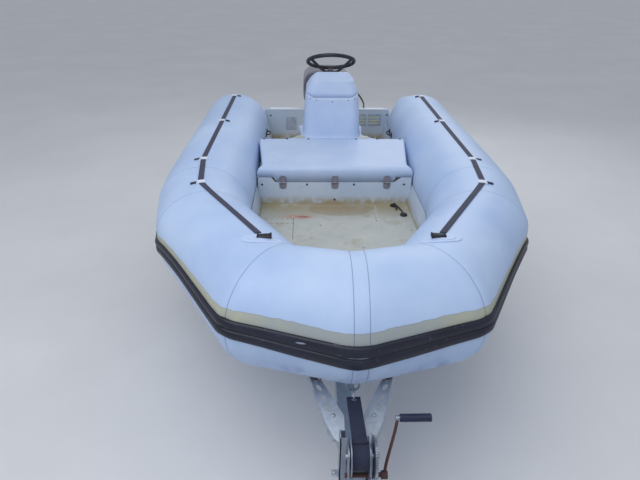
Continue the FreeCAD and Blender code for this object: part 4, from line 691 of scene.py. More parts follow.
def stations(start, stop, step=45.0):
    """Distances along the tube, closer together at the seams."""
    found, count = {start, stop}, int((stop - start) / step)
    found.update(start + (stop - start) * k / count for k in range(count))
    for mark in marks[1:-1]:
        found = {s for s in found if abs(s - mark) > SEAM_EASE * 1.2}
        found.update(mark + SEAM_EASE * k / 4 for k in range(-4, 5))
    return sorted(s for s in found if start <= s <= stop)


def round_tube(radius, degrees):
    """Outboard offset and height of a point at an angle round the tube."""
    a = math.radians(degrees)
    return radius * math.cos(a), radius * math.sin(a)


# along the tube from the stern's end to the bow, in mm: how far the outer side bulges amidships,
# how far it is drawn in below the shoulder, and the radius and height of the centre line
BULGE = ((400, 0), (1000, 9), (1360, 9), (1600, 3), (1880, 0))
DRAWN_IN = ((1200, 0), (1563, 10), (1882, 18), (2180, 15), (2520, 5), (2841, 0))
RADIUS = ((2520, TUBE_R), (2841, TUBE_R + 7))
LIFT = ((2520, 0), (2841, -9))


def read(table, here):
    """A value from a table of (place, value) pairs, straight between its entries."""
    for (a, low), (b, high) in zip(table, table[1:]):
        if here <= b:
            return low + (high - low) * max(0.0, (here - a) / (b - a))
    return table[-1][1]


def profile(along, table):
    """A value from a table of (distance along, value), the same to port and starboard."""
    return read(table, min(along, marks[-1] - along))


def fade(value, low, high):
    """0 at low, 1 at high, smooth between."""
    share = max(0.0, min(1.0, (value - low) / (high - low)))
    return share * share * (3 - 2 * share)


def skin_point(along, degrees, proud=0.0):
    """A point of the inflated tube at a station and an angle, standing proud by some mm."""
    turn = degrees if degrees <= 180 else degrees - 360
    outer = max(0.0, math.cos(math.radians(turn - 30))) ** 2
    radius = profile(along, RADIUS) + profile(along, BULGE) * outer
    radius -= profile(along, DRAWN_IN) * fade(turn, 30, 5) * fade(turn, -130, -70)
    offset, height = round_tube(radius + proud, degrees)
    return tube_point(along, offset, height + profile(along, LIFT))


print("tube centre line", round(marks[-1]), "mm")

# %% [markdown]
# The skin is one closed mesh with a ring at each station and a cone at each stern end. A row of
# plain cylinders would look machined: at the seams the cloth puckers a little, so the radius
# wanders there by a millimetre or two. The wander comes from fixed noise and is the same on
# each run. The dark seams and the glue band are drawn by the material, so it is told at each
# point how far the nearest seam, the bow's tape and the band's edges are.

# %% Seams and glue lines
BOW_TAPE, BOW_SEAM = (-15.0, 38.0), 4
NO_TAPE = 99.0
# at the seams: how deep the cloth puckers and dips and how far each reaches, in mm; then the
# slow swell between the seams
PUCKER, PUCKER_REACH = 2.2, 70.0
DIP, DIP_REACH = 1.2, 12.0
SWELL = 1.6
# angle of the strake's lower and upper edge and of the glue band's top, along the tube
STRAKE_LOW = ((0, -20), (1563, -20), (1800, -15), (1882, -9), (1960, -4), (2100, -1), (2450, 0),
              (2520, 1), (2600, -1.5), (2700, -6.5), (2800, -10.5), (2841, -11.5))
STRAKE_HIGH = ((0, -1), (1563, -2), (1800, 1), (1882, 7), (1960, 12), (2100, 15), (2450, 15.5),
               (2520, 18), (2600, 16.5), (2700, 14), (2800, 11.5), (2841, 11.5))
GLUE_TOP = ((0, 4), (1563, 4), (1800, 8), (1882, 14), (1960, 19.5), (2100, 22.5), (2450, 23.5),
            (2520, 27), (2600, 26.8), (2700, 24.5), (2800, 22.2), (2841, 21.8))


def seam_distance(along):
    """Distance to the nearest panel edge, in mm, without the bow's own seam."""
    return min(abs(along - marks[k]) for k in range(1, len(runs)) if k != BOW_SEAM)


def tape_distance(point):
    """Signed distance to the edge of the tape over the bow seam, in mm."""
    low, high = BOW_TAPE
    bow = point.x > at(2300, 0, 0).x
    return abs(point.y / MM - (low + high) / 2) - (high - low) / 2 if bow else NO_TAPE


def pucker(along, degrees, angle):
    """A small wander of the radius near the seams, in mm."""
    near = min(abs(along - m) for m in marks[1:-1])
    wave = noise.noise(Vector((along / 45.0, degrees / 14.0, 3.7)))
    swell = noise.noise(Vector((along / 500.0, angle * 1.5, 9.1)))
    return (PUCKER * math.exp(-near / PUCKER_REACH) * wave + SWELL * swell
            - DIP * math.exp(-near / DIP_REACH))


def glue_share(along, degrees):
    """0 at the strake's upper edge and 1 at the top of the glue band."""
    turn = degrees if degrees <= 180 else degrees - 360
    low = profile(along, STRAKE_HIGH)
    return (turn - low) / (profile(along, GLUE_TOP) - low)


print("glue band's top at the bow", GLUE_TOP[-1][1], "degrees up")

# %% Tube skin
ROUND_STEPS = 96
CONE, CONE_TIP_R, CONE_CAP = 560.0, 92.0, 26.0
# up the cone's domed cap, in degrees, then along its side, as shares of its length
CAP_TURNS = (86, 70, 50, 30, 12)
CONE_SHARES = (1.0, 0.85, 0.7, 0.55, 0.4, 0.25, 0.12)
NO_SEAM = 40.0
# the mesh lies this far under the cloth's face, so that glued pieces bed into it
CLOTH_INSET = 1.8


def cone_rings():
    """(distance behind the stern's end, radius) up the cone, from its tip."""
    cap = [(CONE + CONE_CAP * math.sin(a), CONE_TIP_R * math.cos(a) ** 0.6)
           for a in [math.radians(d) for d in CAP_TURNS]]
    side = [(CONE * share, CONE_TIP_R + (TUBE_R - CONE_TIP_R) * (1 - share)) for share in CONE_SHARES]
    return cap + side + [(8.0, TUBE_R - 2.0)]


def tube_skin():
    lines = stations(0.0, marks[-1])
    rings, angles, seams, shares = [], [], [], []

    def add_ring(make, seam, along=0.0):
        ring = []
        for k in range(ROUND_STEPS):
            degrees = 360.0 * k / ROUND_STEPS
            ring.append(make(degrees))
            angles.append(degrees if degrees <= 270 else degrees - 360)
            seams.append(abs(seam))
            shares.append(glue_share(along, degrees))
        rings.append(ring)

    def cone_ring(back, radius, side):
        def make(degrees):
            offset, height = round_tube(radius, degrees)
            return at(STERN_X - back, side * (SEAMS[0][1] + offset), TUBE_Z + height)
        return make

    for back, radius in cone_rings():
        add_ring(cone_ring(back, radius, 1), back - CONE if back > 0.9 * CONE else NO_SEAM)
    for along in lines[1:-1]:
        def make(degrees, along=along):
            wander = pucker(along, degrees, math.radians(degrees))
            return skin_point(along, degrees, wander - CLOTH_INSET)
        add_ring(make, seam_distance(along), along)
    for back, radius in reversed(cone_rings()):
        add_ring(cone_ring(back, radius, -1), back - CONE if back > 0.9 * CONE else NO_SEAM)
    made = piece("tube_skin", loft(rings), fabric,
                 stands_for=("tube_stern_panels", "tube_shoulder_panels", "tube_bow_quarters",
                             "tube_bow_port", "tube_bow_starboard"), crisp=60)
    tapes = [tape_distance(point) for ring in rings for point in ring]
    fields = {"round_angle": angles, "seam_mm": seams, "glue_share": shares, "tape_mm": tapes}
    for name, values in fields.items():
        field = made.data.attributes.new(name, "FLOAT", "POINT")
        field.data.foreach_set("value", values)


tube_skin()
print("tube skin", ROUND_STEPS, "points round each ring")

# %% [markdown]
# The rubbing strake is one extrusion with two ribs, glued along the widest line of the tube. A
# bump drawn on the tube would leave its outline smooth, so the strake is a mesh of its own.
# Its section is a low base with two half ellipses on it, and it is carried along the same
# lines as the tube, so that it bends where the tube bends.

# %% Rubbing strake
STRAKE_PROUD, STRAKE_BASE = 10.0, 4.0
STRAKE_STERN, STRAKE_STEPS = 40.0, 40


def strake_height(share):
    """How far the strake stands out, at a share of its width from the lower edge."""
    across = (2 * share) % 1.0 * 2 - 1
    return STRAKE_BASE + (STRAKE_PROUD - STRAKE_BASE) * math.sqrt(max(0.0, 1 - (across / 0.9) ** 2))


def rubbing_strake():
    rings = []
    for along in stations(STRAKE_STERN, marks[-1] - STRAKE_STERN):
        low, high = profile(along, STRAKE_LOW), profile(along, STRAKE_HIGH)
        ring = [skin_point(along, low, -3.0)]
        for k in range(STRAKE_STEPS + 1):
            share = k / STRAKE_STEPS
            proud = strake_height(min(share, 0.9999))
            ring.append(skin_point(along, low + (high - low) * share, proud))
        ring.append(skin_point(along, high, -3.0))
        rings.append(ring)
    piece("rubbing_strake_skin", loft(rings), rubber,
          stands_for=("rubbing_strake",), crisp=50)


rubbing_strake()
print("strake", STRAKE_STERN, "to", round(marks[-1] - STRAKE_STERN), "mm along the tube")

# %% [markdown]
# The lifeline lies on top of the tube and is tight between its glued patches, so in plan it is
# a chain of straight lines. A modifier could shrink a strip onto the tube, but its edges would
# wander; here each point is dropped onto the tube, and its height follows from its distance
# to the tube's centre line.

# %% Drape onto the tube
def centre_distance(x, y):
    """Distance in plan from a point to the tube's centre line."""
    point, best = Vector((x, y)), 1e9
    for a, b in zip(chain, chain[1:]):
        share = max(0.0, min(1.0, (point - a).dot(b - a) / (b - a).length_squared))
        best = min(best, (point - a.lerp(b, share)).length)
    return best


def on_tube(x, y, lift=0.0):
    """The point of the tube's upper face over a plan point, raised by a lift in mm."""
    radius = TUBE_R + lift
    far = min(centre_distance(x, y), radius * 0.98)
    return at(x, y, TUBE_Z + math.sqrt(radius * radius - far * far))


def laid_strip(line, width, thick, step=30.0, columns=6):
    """A flat strip that lies on the tube along a chain of plan points."""
    rows = []
    for a, b in zip(line, line[1:]):
        a, b = Vector(a), Vector(b)
        way = (b - a).normalized()
        side = Vector((-way.y, way.x))
        count = max(2, int((b - a).length / step))
        for k in range(count + 1):
            here = a.lerp(b, k / count)
            top = [here + side * (width * (c / columns - 0.5)) for c in range(columns + 1)]
            ring = [on_tube(p.x, p.y, thick) for p in top]
            ring += [on_tube(p.x, p.y, -1.5) for p in reversed(top)]
            rows.append(ring)
    return loft(rows)


print("tube crown", round(on_tube(1000.0, SEAMS[0][1]).z, 3), "m")

# %% [markdown]
# The webbing could be one flat box, but its edges would stand off the round tube, so it is a
# strip with columns across it, each dropped onto the tube. White bars of the tube's own cloth
# hold it down, with a loose dark tail at each.

# %% Lifeline and patches
WEB_WIDTH, WEB_THICK = 25.0, 3.0
PATCH_BAR = (35.0, 42.0, 4.5)
# width and thickness of a loose tail of webbing
TAIL = (12.0, 6.0)
WEB_LINE = ((215.0, 685.0), (1640.0, 690.0), (1965.0, 652.0), (2484.0, 350.0))
# place of each white bar, and how many degrees it leans
BARS = (((240.0, 685.0), 0.0), ((915.0, 687.5), 0.0), (WEB_LINE[1], 3.0), (WEB_LINE[2], 16.0))
AFT_BARS = 1200.0


def patch_bars():
    long, wide, thick = PATCH_BAR
    solids, tails = [], []
    for (x, y), lean in BARS:
        a = math.radians(-lean)
        across = Vector((-math.sin(a), math.cos(a))) * (wide / 2)
        here = Vector((x, y))
        solids.append(laid_strip([here - across, here + across], long, thick, step=9.0, columns=3))
        # a loose dark tail of webbing lies inboard of the aft bars and outboard of the fore ones
        tip, way = (here - across, -1) if x < AFT_BARS else (here + across, 1)
        tail = [(tip.x + 2, tip.y - 6 * way), (tip.x + 9, tip.y + 24 * way)]
        tails.append(laid_strip(tail, *TAIL, step=8.0, columns=3))
    piece("lifeline_tails", both_sides(merged(*tails)), webbing, crisp=40)
    piece("lifeline_patches", both_sides(merged(*solids)), pale_fabric, crisp=40)


strap = laid_strip(WEB_LINE, WEB_WIDTH, WEB_THICK)
piece("lifeline_strap", both_sides(strap), webbing,
      stands_for=("lifeline_webbing",), crisp=40)
patch_bars()
print("lifeline bars", 2 * len(BARS))

# %% [markdown]
# Each lifeline ends at the bow in a moulded rubber handle on two oval pads of glued cloth, and
# soft loops hang inside the tube. The handle could be one block with a ribbed bump, but its
# ribs catch the light one by one, so they are nine small eased blocks on a larger one.

# %% Handles and their pads
HANDLE = (2521.0, 325.0)
PAD = (2529.0, 335.0)
# sizes in metres of the handle, of one of its ribs and of the flange at each end
HANDLE_SIZE, RIB_SIZE, FLANGE_SIZE = (0.024, 0.052, 0.010), (0.021, 0.0024, 0.003), (0.027, 0.005, 0.015)
# half length, half breadth and height in mm of the two pads, one on the other
PAD_SIZES = ((34.0, 78.0, 1.4), (24.0, 54.0, 3.0))
RIBS, RIB_STEP = 9, 5.2


def bow_handles():
    """A ribbed rubber block on a white pad at the forward end of each lifeline, lying athwart."""
    tilt = math.asin(centre_distance(*HANDLE) / TUBE_R)
    aside = Vector((outboards[2].x, outboards[2].y, 0)) * math.sin(tilt) * 0.5
    up = (aside + Vector((0, 0, math.cos(tilt)))).normalized()
    across = (Vector((0, 1, 0)) - up * up.y).normalized()
    turn = Matrix((across.cross(up), across, up)).transposed()
    top = on_tube(*HANDLE, 7.0)
    solids = [block(top, HANDLE_SIZE, 0.003, turn)]
    for k in range(RIBS):
        shift = across * ((k - RIBS // 2) * RIB_STEP * MM) + up * (5.0 * MM)
        solids.append(block(top + shift, RIB_SIZE, 0.0008, turn))
    for side in (-1, 1):
        solids.append(block(top + across * (side * 25 * MM), FLANGE_SIZE, 0.002, turn))
    return both_sides(merged(*solids))


def oval_patches():
    """The two glued oval pads under each bow handle."""
    solids = []
    turns = [math.tau * k / 48 for k in range(48)]
    for half_long, half_wide, lift in PAD_SIZES:
        rings = []
        for share, rise in ((0.02, lift), (0.5, lift), (0.96, lift), (1.0, -1.0)):
            long, wide = half_long * share, half_wide * share
            rings.append([on_tube(PAD[0] + long * math.cos(a), PAD[1] + wide * math.sin(a), rise)
                          for a in turns])
        solids.append(loft(rings))
    piece("handle_pads", both_sides(merged(*solids)), pad_fabric, crisp=25)


GRAB_XS = (395.0, 700.0)
GRAB_HALF, GRAB_REACH, GRAB_BAR = 45.0, 30.0, 5.0
GRAB_FOOT = ((-6, 16), (-3, 19), (1, 20), (14, 20))


def grab_loops():
    """Soft black loops on the tube's inner side."""
    solids = []
    inner = SEAMS[0][1] - TUBE_R
    for x in GRAB_XS:
        path = []
        for k in range(17):
            a = math.pi * k / 16
            reach = (GRAB_REACH + 4) * math.sin(a) ** 0.6
            path.append(at(x - (GRAB_HALF + 2) * math.cos(a), inner + 6 - reach, TUBE_Z))
        solids.append(sweep(path, GRAB_BAR * MM, 12))
        for end in (-GRAB_HALF, GRAB_HALF):
            solids.append(lathe(GRAB_FOOT, at(x + end, inner + 2, TUBE_Z), (0, 1, 0), 24))
    return both_sides(merged(*solids))


oval_patches()
piece("handles_black", merged(bow_handles(), grab_loops()), black_moulding,
      stands_for=("grab_handles",), crisp=35)
print("handles with", RIBS, "ribs, and", 2 * len(GRAB_XS), "grab loops")

# %% [markdown]
# Seat and console are one hinged moulding. The bench could be a box with a bevel, but its
# shoulders, its falling top and its hollow back would be lost, so it is a loft: rows of points
# from front to back, each row a section across with eased shoulders. Its front edge hangs
# lower in the middle, where the seam drops to the hinges. A modifier gives the open skin the
# real laminate's 6 mm.

# %% Seat bench
LOCKER_FRONT = 1340.0
SEAT_SEAM, FLAP_SEAM = 868.0, 838.0
FLAP_Y, FLAP_JOG = 333.0, 10.0
SKIRT_Y, SHOULDER = 446.0, 15.0
SHOULDER_TURNS = (0, 25, 50, 70, 90)
BENCH_COLUMNS = (400.0, FLAP_Y + FLAP_JOG, FLAP_Y, 250.0, 160.0, 80.0)
BENCH_MIDDLE = 1000.0
WALL = 6.0
# station, top height and half breadth, from the front face to the ridge and down behind it
BENCH_ROWS = (
    (1340.0, None, 448.0), (1340.0, 900.0, 448.0), (1339.0, 908.0, 448.0), (1335.5, 916.0, 446.0),
    (1329.0, 922.0, 443.0), (1318.0, 926.0, 437.0), (1300.0, 928.0, 428.0), (1280.0, 930.0, 424.0),
    (1240.0, 934.0, 427.0), (1150.0, 943.0, 437.0), (1040.0, 953.5, 449.0), (950.0, 962.0, 458.0),
    (922.0, 964.5, 461.0), (912.0, 964.5, 461.0), (906.0, 962.0, 461.0), (902.0, 957.0, 461.0),
    (900.0, 950.0, 461.0), (900.0, None, 461.0),
)


def seam_height(y):
    """Height of the moulding's lower front edge."""
    return FLAP_SEAM + (SEAT_SEAM - FLAP_SEAM) * max(0.0, min(1.0, (abs(y) - FLAP_Y) / FLAP_JOG))


def bench_row(x, top, half):
    """Points across the bench. A row with no top lies along the moulding's lower edge."""
    crown = SEAT_SEAM + 1.0 if top is None else top
    columns = [(min(half, SKIRT_Y), SEAT_SEAM)]
    for degrees in SHOULDER_TURNS:
        a = math.radians(degrees)
        columns.append((half - SHOULDER * (1 - math.cos(a)), crown - SHOULDER * (1 - math.sin(a))))
    columns += [(y, crown) for y in BENCH_COLUMNS] + [(0.0, crown)]
    if top is not None:
        side = [(y, max(h, seam_height(y))) for y, h in columns]
    else:
        side = [(y, seam_height(y) if x > BENCH_MIDDLE else SEAT_SEAM) for y, h in columns]
    return [at(x, y, h) for y, h in side + [(-y, h) for y, h in reversed(side[:-1])]]


def shell(made, thick=WALL):
    """Give an open skin the laminate's thickness, on the side its faces look away from."""
    wall = made.modifiers.new("laminate", "SOLIDIFY")
    wall.thickness, wall.offset = thick * MM, -1.0
    return made


seat_skin = loft([list(reversed(bench_row(*row))) for row in BENCH_ROWS], closed=False, caps=False)
shell(piece("seat_bench", seat_skin, gelcoat, "seat", crisp=50))
print("bench", len(BENCH_ROWS), "rows of", len(bench_row(*BENCH_ROWS[0])), "points")

# %% [markdown]
# The console is a tall box with generous corners. It rises from the shelf behind the ridge
# through a hollow curve, and narrows a little upwards; above a seam sits the hood, whose top
# falls back to the dash. A subdivided cage would be quicker to make but hard to hold to
# measured lines, so rings of rounded rectangles, read from four short tables, describe both.

# %% Console sections
SHELF_Z, BASE_Z = 962.0, 868.0
FOOT_CURVE, FOOT_STEPS, SIDE_STEPS = 30.0, 6, 12
BACK_CORNER = 34.0
# where the foot's flare fades out: stations towards the front, and places off the middle
FLARE_X, FLARE_Y = (780, 850), (60, 150)
# the hood's seam: its middle height, its rise at a distance aside, and half the gap in it
SEAM_LOW, SEAM_RISE, SEAM_ASIDE, SEAM_GAP = 1192.0, 34.0, 150.0, 0.6
SEAM_PLAN = 1210.0
# by height: half breadth, half of the flat part of the front, front and back stations
POD_HALF = ((868, 185), (970, 183), (1115, 175), (1210, 166), (1240, 163), (1265, 154), (1304, 138),
            (1325, 124), (1339, 111), (1346, 101), (1350, 91))
POD_FLAT = ((868, 118), (1150, 112), (1210, 116), (1250, 112), (1280, 96), (1304, 80), (1350, 62))
POD_FRONT = ((868, 890), (1210, 852), (1304, 826), (1350, 762))
POD_BACK = ((868, 590), (1246, 552), (1350, 748))


def pod_ring(z, grow=0.0):
    """Points round the console at a height, as (station, athwart, height).

    Grow is how far the foot flares out: fully along the sides, hardly at the front corners.
    """
    front, back, half = read(POD_FRONT, z), read(POD_BACK, z), read(POD_HALF, z)
    nose = min(half - read(POD_FLAT, z), (front - back) * 0.48)
    tail = min(BACK_CORNER, (front - back) * 0.4)
    ring = []
    for x, y in rounded(back - grow * 0.3, front + grow * 0.3, half, nose, tail, 8):
        flare = math.copysign(grow, y) * (1 - fade(x, *FLARE_X)) * fade(abs(y), *FLARE_Y)
        ring.append((x, y + flare, z))
    return ring


def seam_ring(lift):
    """The hood's lower edge, which hangs in a shallow curve across the front."""
    heights = [SEAM_LOW + SEAM_RISE * (y / SEAM_ASIDE) ** 2 + lift for x, y, z in pod_ring(SEAM_PLAN)]
    return [pod_ring(z)[k] for k, z in enumerate(heights)]


def topped(rings):
    """A loft of drawing points whose last ring is closed by a face and whose first is open."""
    points, faces = loft([[at(*p) for p in ring] for ring in rings], caps=False)
    faces.append(tuple(range(len(points) - len(rings[-1]), len(points))))
    return points, faces


# %% Console, hood and shelf
HOOD_LEVELS = (1240, 1250, 1262, 1276, 1290, 1301, 1304, 1307, 1314, 1322, 1331, 1338, 1343.5, 1347.5,
               1349.6)
# half of the shelf's outline as (station, athwart), wide at the bench and drawn in behind it
SHELF_HALF = ((914.0, 296.0), (905.0, 298.0), (880.0, 258.0), (850.0, 226.0), (800.0, 196.0),
              (720.0, 172.0), (596.0, 170.0))
# height and share of the breadth, up the shelf's eased edge
SHELF_EDGE = ((BASE_Z, 1.0), (SHELF_Z - 6, 1.0), (SHELF_Z - 1.5, 0.993), (SHELF_Z, 0.98))
RECESS_X, RECESS_Y = 866.0, 205.0
RECESS = ((0.2, 33.0), (1.4, 31.5), (1.6, 30.0), (0.6, 27.5), (0.5, 15.0), (0.5, 0.5))


def console_sides():
    """Rings up the console, from the foot's hollow curve to just under the hood's seam."""
    rings = []
    for k in range(FOOT_STEPS + 1):
        a = math.radians(90 * k / FOOT_STEPS)
        rise, grow = FOOT_CURVE * (1 - math.cos(a)), FOOT_CURVE * (1 - math.sin(a))
        rings.append(pod_ring(SHELF_Z - 2.0 + rise, grow))
    top, first = seam_ring(-SEAM_GAP), rings[-1][0][2]
    for k in range(1, SIDE_STEPS):
        levels = [first + (z - first) * k / SIDE_STEPS for x, y, z in top]
        rings.append([pod_ring(z)[n] for n, z in enumerate(levels)])
    rings.append(top)
    return loft([[at(*p) for p in ring] for ring in rings], caps=False)


shelf_outline = list(SHELF_HALF) + [(x, -y) for x, y in reversed(SHELF_HALF)]
shelf = topped([[(x, y * share, z) for x, y in shelf_outline] for z, share in SHELF_EDGE])
hood = topped([seam_ring(SEAM_GAP)] + [pod_ring(z) for z in HOOD_LEVELS])
recesses = [lathe(RECESS, at(RECESS_X, side * RECESS_Y, SHELF_Z), (0, 0, 1), 40) for side in (-1, 1)]
shell(piece("console_body", merged(console_sides(), shelf), gelcoat, "seat",
            stands_for=("seat_moulding", "console_moulding"), crisp=50))
shell(piece("console_hood_skin", hood, gelcoat, "seat", stands_for=("console_hood",),
            crisp=50))
piece("shelf_recesses", merged(*recesses), recess_gelcoat, "seat", crisp=60)
print("console and hood", len(hood[0]), "points in the hood")

# %% [markdown]
# Screws and bolts are small but they are what the eye uses to judge scale: domed heads along
# the ridge, on the hood's seam, on the locker's front and on the floor. Their threads are out
# of sight, so each is only a turned head, and one short table places them all.

# %% Fasteners
DECK_Z = 705.0
RIDGE_BOLTS = (-433.0, -287.0, -152.0, 152.0, 287.0, 433.0)
HOOD_SCREWS = ((-138.0, 1205.0), (-100.0, 1196.0), (0.0, 1186.0), (100.0, 1196.0), (138.0, 1205.0))
LOCKER_BOLTS = ((-422.0, 823.0), (-162.0, 823.0), (111.0, 823.0), (403.0, 823.0),
                (-440.0, 728.0), (0.0, 728.0), (440.0, 728.0))
FLOOR_SCREWS = ((1548.0, 220.0), (1581.0, 221.0), (1701.0, 396.0), (1640.0, -90.0), (1900.0, 120.0))


def dome(place, way, radius, height):
    """A low domed head."""
    turns = [math.radians(d) for d in (0, 25, 50, 72, 88)]
    return lathe([(-1.0, radius)] + [(height * math.sin(a), radius * math.cos(a)) for a in turns],
                 place, way, 16)


def console_front(y, z):
    """The foremost point of the console at a place off the middle and a height."""
    y, ring = y * MM, [at(*p) for p in pod_ring(z)]
    spans = [(a, b) for a, b in zip(ring, ring[1:] + ring[:1]) if min(a.y, b.y) <= y <= max(a.y, b.y)]
    front = max(a.x + (b.x - a.x) * (y - a.y) / ((b.y - a.y) or 1.0) for a, b in spans)
    return Vector((front, y, z * MM))


# name, places, way the heads face, their radius and height in mm, finish, body
HEADS = (
    ("ridge_bolts", [at(917.0, y, 964.5) for y in RIDGE_BOLTS], (0.1, 0, 1), 7.0, 4.5, dark_bolt, "seat"),
    ("hood_screws", [console_front(*p) for p in HOOD_SCREWS], (1, 0, 0.1), 4.0, 1.6, worn_steel, "seat"),
    ("locker_bolts", [at(LOCKER_FRONT, *p) for p in LOCKER_BOLTS], (1, 0, 0), 6.5, 3.5, dark_bolt, "root"),
    ("floor_screws", [at(*p, DECK_Z) for p in FLOOR_SCREWS], (0, 0, 1), 6.0, 1.6, worn_steel, "root"),
)
for name, places, way, radius, height, metal, body in HEADS:
    piece(name, merged(*[dome(place, way, radius, height) for place in places]), metal, body,
          crisp=60)
print("heads", sum(len(row[1]) for row in HEADS))

# %% [markdown]
# The steering wheel is dished: its hub sits well below the ring, and three flat spokes slope up
# to it, so each spoke is a flat bar swept along a bent line rather than a straight strut.
# Distances are measured down the column from the ring's centre.

# %% Steering wheel
HELM = at(550.0, 0.0, 1380.0)
HELM_AXIS = Vector((-0.4146932, 0, 0.9099613))
HELM_FORE = Vector((0.9099613, 0, 0.4146932))
RING_R, RING_BAR = 151.5, 12.5
SPOKE_TURNS, SPOKE_WIDE, SPOKE_THICK = (62.0, 180.0, 298.0), 28.0, 5.0
# a spoke's line as (radius, depth below the ring), and the hub as (depth, radius)
SPOKE_LINE = ((20, 72), (34, 72), (52, 68), (80, 52), (112, 30), (136, 12), (149, 3))
HUB = ((-88, 24), (-87, 31), (-70, 33), (-66, 31), (-58, 24), (-55, 12), (-54.5, 0.5))
GRIPS, GRIP_DEPTH, GRIP_SIZE = 48, 10.5, (0.009, 0.009, 0.005)


def on_wheel(turn, radius, down):
    """A point at an angle and a radius in mm, some mm below the plane of the ring."""
    a = math.radians(turn)
    out = HELM_FORE * math.cos(a) + Vector((0, 1, 0)) * math.sin(a)
    return HELM + out * (radius * MM) - HELM_AXIS * (down * MM), out


def steering_wheel():
    solids = [hoop(HELM, HELM_AXIS, RING_R * MM, RING_BAR * MM, 96, 16)]
    for turn in SPOKE_TURNS:
        path = [on_wheel(turn, radius, down)[0] for radius, down in SPOKE_LINE]
        across = HELM_AXIS.cross(on_wheel(turn, 1.0, 0.0)[1])
        solids.append(ribbon(path, across, SPOKE_WIDE * MM, SPOKE_THICK * MM))
    solids.append(lathe(HUB, HELM, HELM_AXIS, 36))
    # finger grips under the ring
    for k in range(GRIPS):
        place = on_wheel(360.0 * k / GRIPS, RING_R, 0.0)[0]
        solids.append(block(place - HELM_AXIS * (GRIP_DEPTH * MM), GRIP_SIZE, 0.002))
    return merged(*solids)


# %% [markdown]
# Behind the console, and out of the photo's sight, are the helm's boss, the gear lever on its
# box, and the fitting of the steering cable. All are moulded or turned, so outlines turned
# about an axis make them, with one eased block for the box.

# %% Helm and lever
BOSS = ((-124, 50), (-119, 49), (-112, 44), (-104, 33), (-94, 26), (-90, 24), (-89.5, 8))
LEVER_Y = -95
LEVER_BOX, LEVER_BOX_SIZE = (534, LEVER_Y, 1105), (0.060, 0.080, 0.090)
PIVOT = ((0, 26), (3, 26), (5, 22), (6, 10))
KNOB = ((-14, 5), (-12, 12), (-4, 17), (6, 16), (14, 10), (17, 2))
# the lever's line: station, height and radius of the rod in mm
LEVER_LINE = ((526, 1140, 9), (522, 1165, 7.5), (515, 1200, 6.5), (510, 1238, 6))
CABLE_EXIT, CABLE_NEXT = at(545, 105, 1150), at(460, 108, 1160)
CABLE_NUT = ((0.2, 8), (1, 11), (16, 11), (17, 9.5), (26, 9.5), (27, 11), (58, 11))


def helm_and_lever():
    return merged(
        lathe(BOSS, HELM, HELM_AXIS, 36),
        block(at(*LEVER_BOX), LEVER_BOX_SIZE, 0.009),
        lathe(PIVOT, at(504, LEVER_Y, 1112), (-1, 0, 0), 28),
        sweep([at(x, LEVER_Y, z) for x, z, r in LEVER_LINE], [r * MM for x, z, r in LEVER_LINE], 14),
        lathe(KNOB, at(507, LEVER_Y, 1255), (-0.16, 0, 1), 24),
        lathe(CABLE_NUT, CABLE_EXIT, CABLE_EXIT - CABLE_NEXT, 6),
    )


# %% [markdown]
# The motor's cover is a soft loaf that lifts off along a groove. A rounded box would have the
# same corner everywhere; here each plan has corners of its own, tighter at the groove and
# wide at the crown.

# %% Motor cover
COVER_STERN, COVER_BOW, COVER_HALF = -545, -45, 186
# height; then how far the plan is drawn in aft, forward and aside; then its corners' radii
COVER_LEVELS = (
    (966, 8, 0, 8, 96, 110), (996, 2, 0, 2, 98, 118), (1000, 5, 4, 5, 95, 115), (1006, 5, 4, 5, 95, 115),
    (1010, 0, 0, 0, 100, 120), (1060, 0, 0, 0, 100, 120), (1106, 2, 3, 3, 100, 120),
    (1140, 12, 12, 12, 96, 114), (1164, 34, 30, 32, 86, 100), (1179, 66, 58, 60, 70, 84),
    (1186, 100, 88, 90, 56, 66), (1189, 140, 120, 116, 40, 50),
)
# air slots and latches: place in the drawing, size and edge in metres
COVER_FITTINGS = [((-540, 0, 1050 + 16 * k), (0.009, 0.15 - 0.012 * k, 0.007), 0.002) for k in range(4)]
COVER_FITTINGS += [((-539, 0, 992), (0.010, 0.052, 0.030), 0.003),
                   ((-48, 0, 990), (0.012, 0.060, 0.020), 0.003)]


def motor_cover():
    rings = []
    for z, aft, fore, aside, nose, tail in COVER_LEVELS:
        outline = rounded(COVER_STERN + aft, COVER_BOW - fore, COVER_HALF - aside, nose, tail, 8)
        rings.append([at(x, y, z) for x, y in outline])
    return loft(rings)


def blocks(rows):
    """Eased blocks from rows of a place in the drawing, a size and an edge in metres."""
    return merged(*[block(at(*place), size, ease) for place, size, ease in rows])


piece("motor_cover", motor_cover(), cowl_plastic, "motor", stands_for=("motor_cowl",),
      crisp=50)
piece("motor_cover_fittings", blocks(COVER_FITTINGS), hard_plastic, "motor", crisp=40)
piece("steering_wheel_rim", steering_wheel(), hard_plastic, "steering_wheel",
      stands_for=("steering_wheel",), crisp=40)
piece("helm_and_lever", helm_and_lever(), hard_plastic, "seat",
      stands_for=("helm_and_control_lever",), crisp=40)
print("motor cover from", COVER_LEVELS[0][0], "to", COVER_LEVELS[-1][0], "mm above the ground")

# %% [markdown]
# The floor's panels meet in sealed seams. They could be painted on, but a line of real sealant
# stands a little proud and breaks up where it has been trodden out, so each is a thin strip a
# fraction of a millimetre above the deck, some of them broken. The drain's rubber plug hangs
# on a short lead that lies on the floor.

# %% Floor seams and drain
SEAM_DEPTH = 0.5
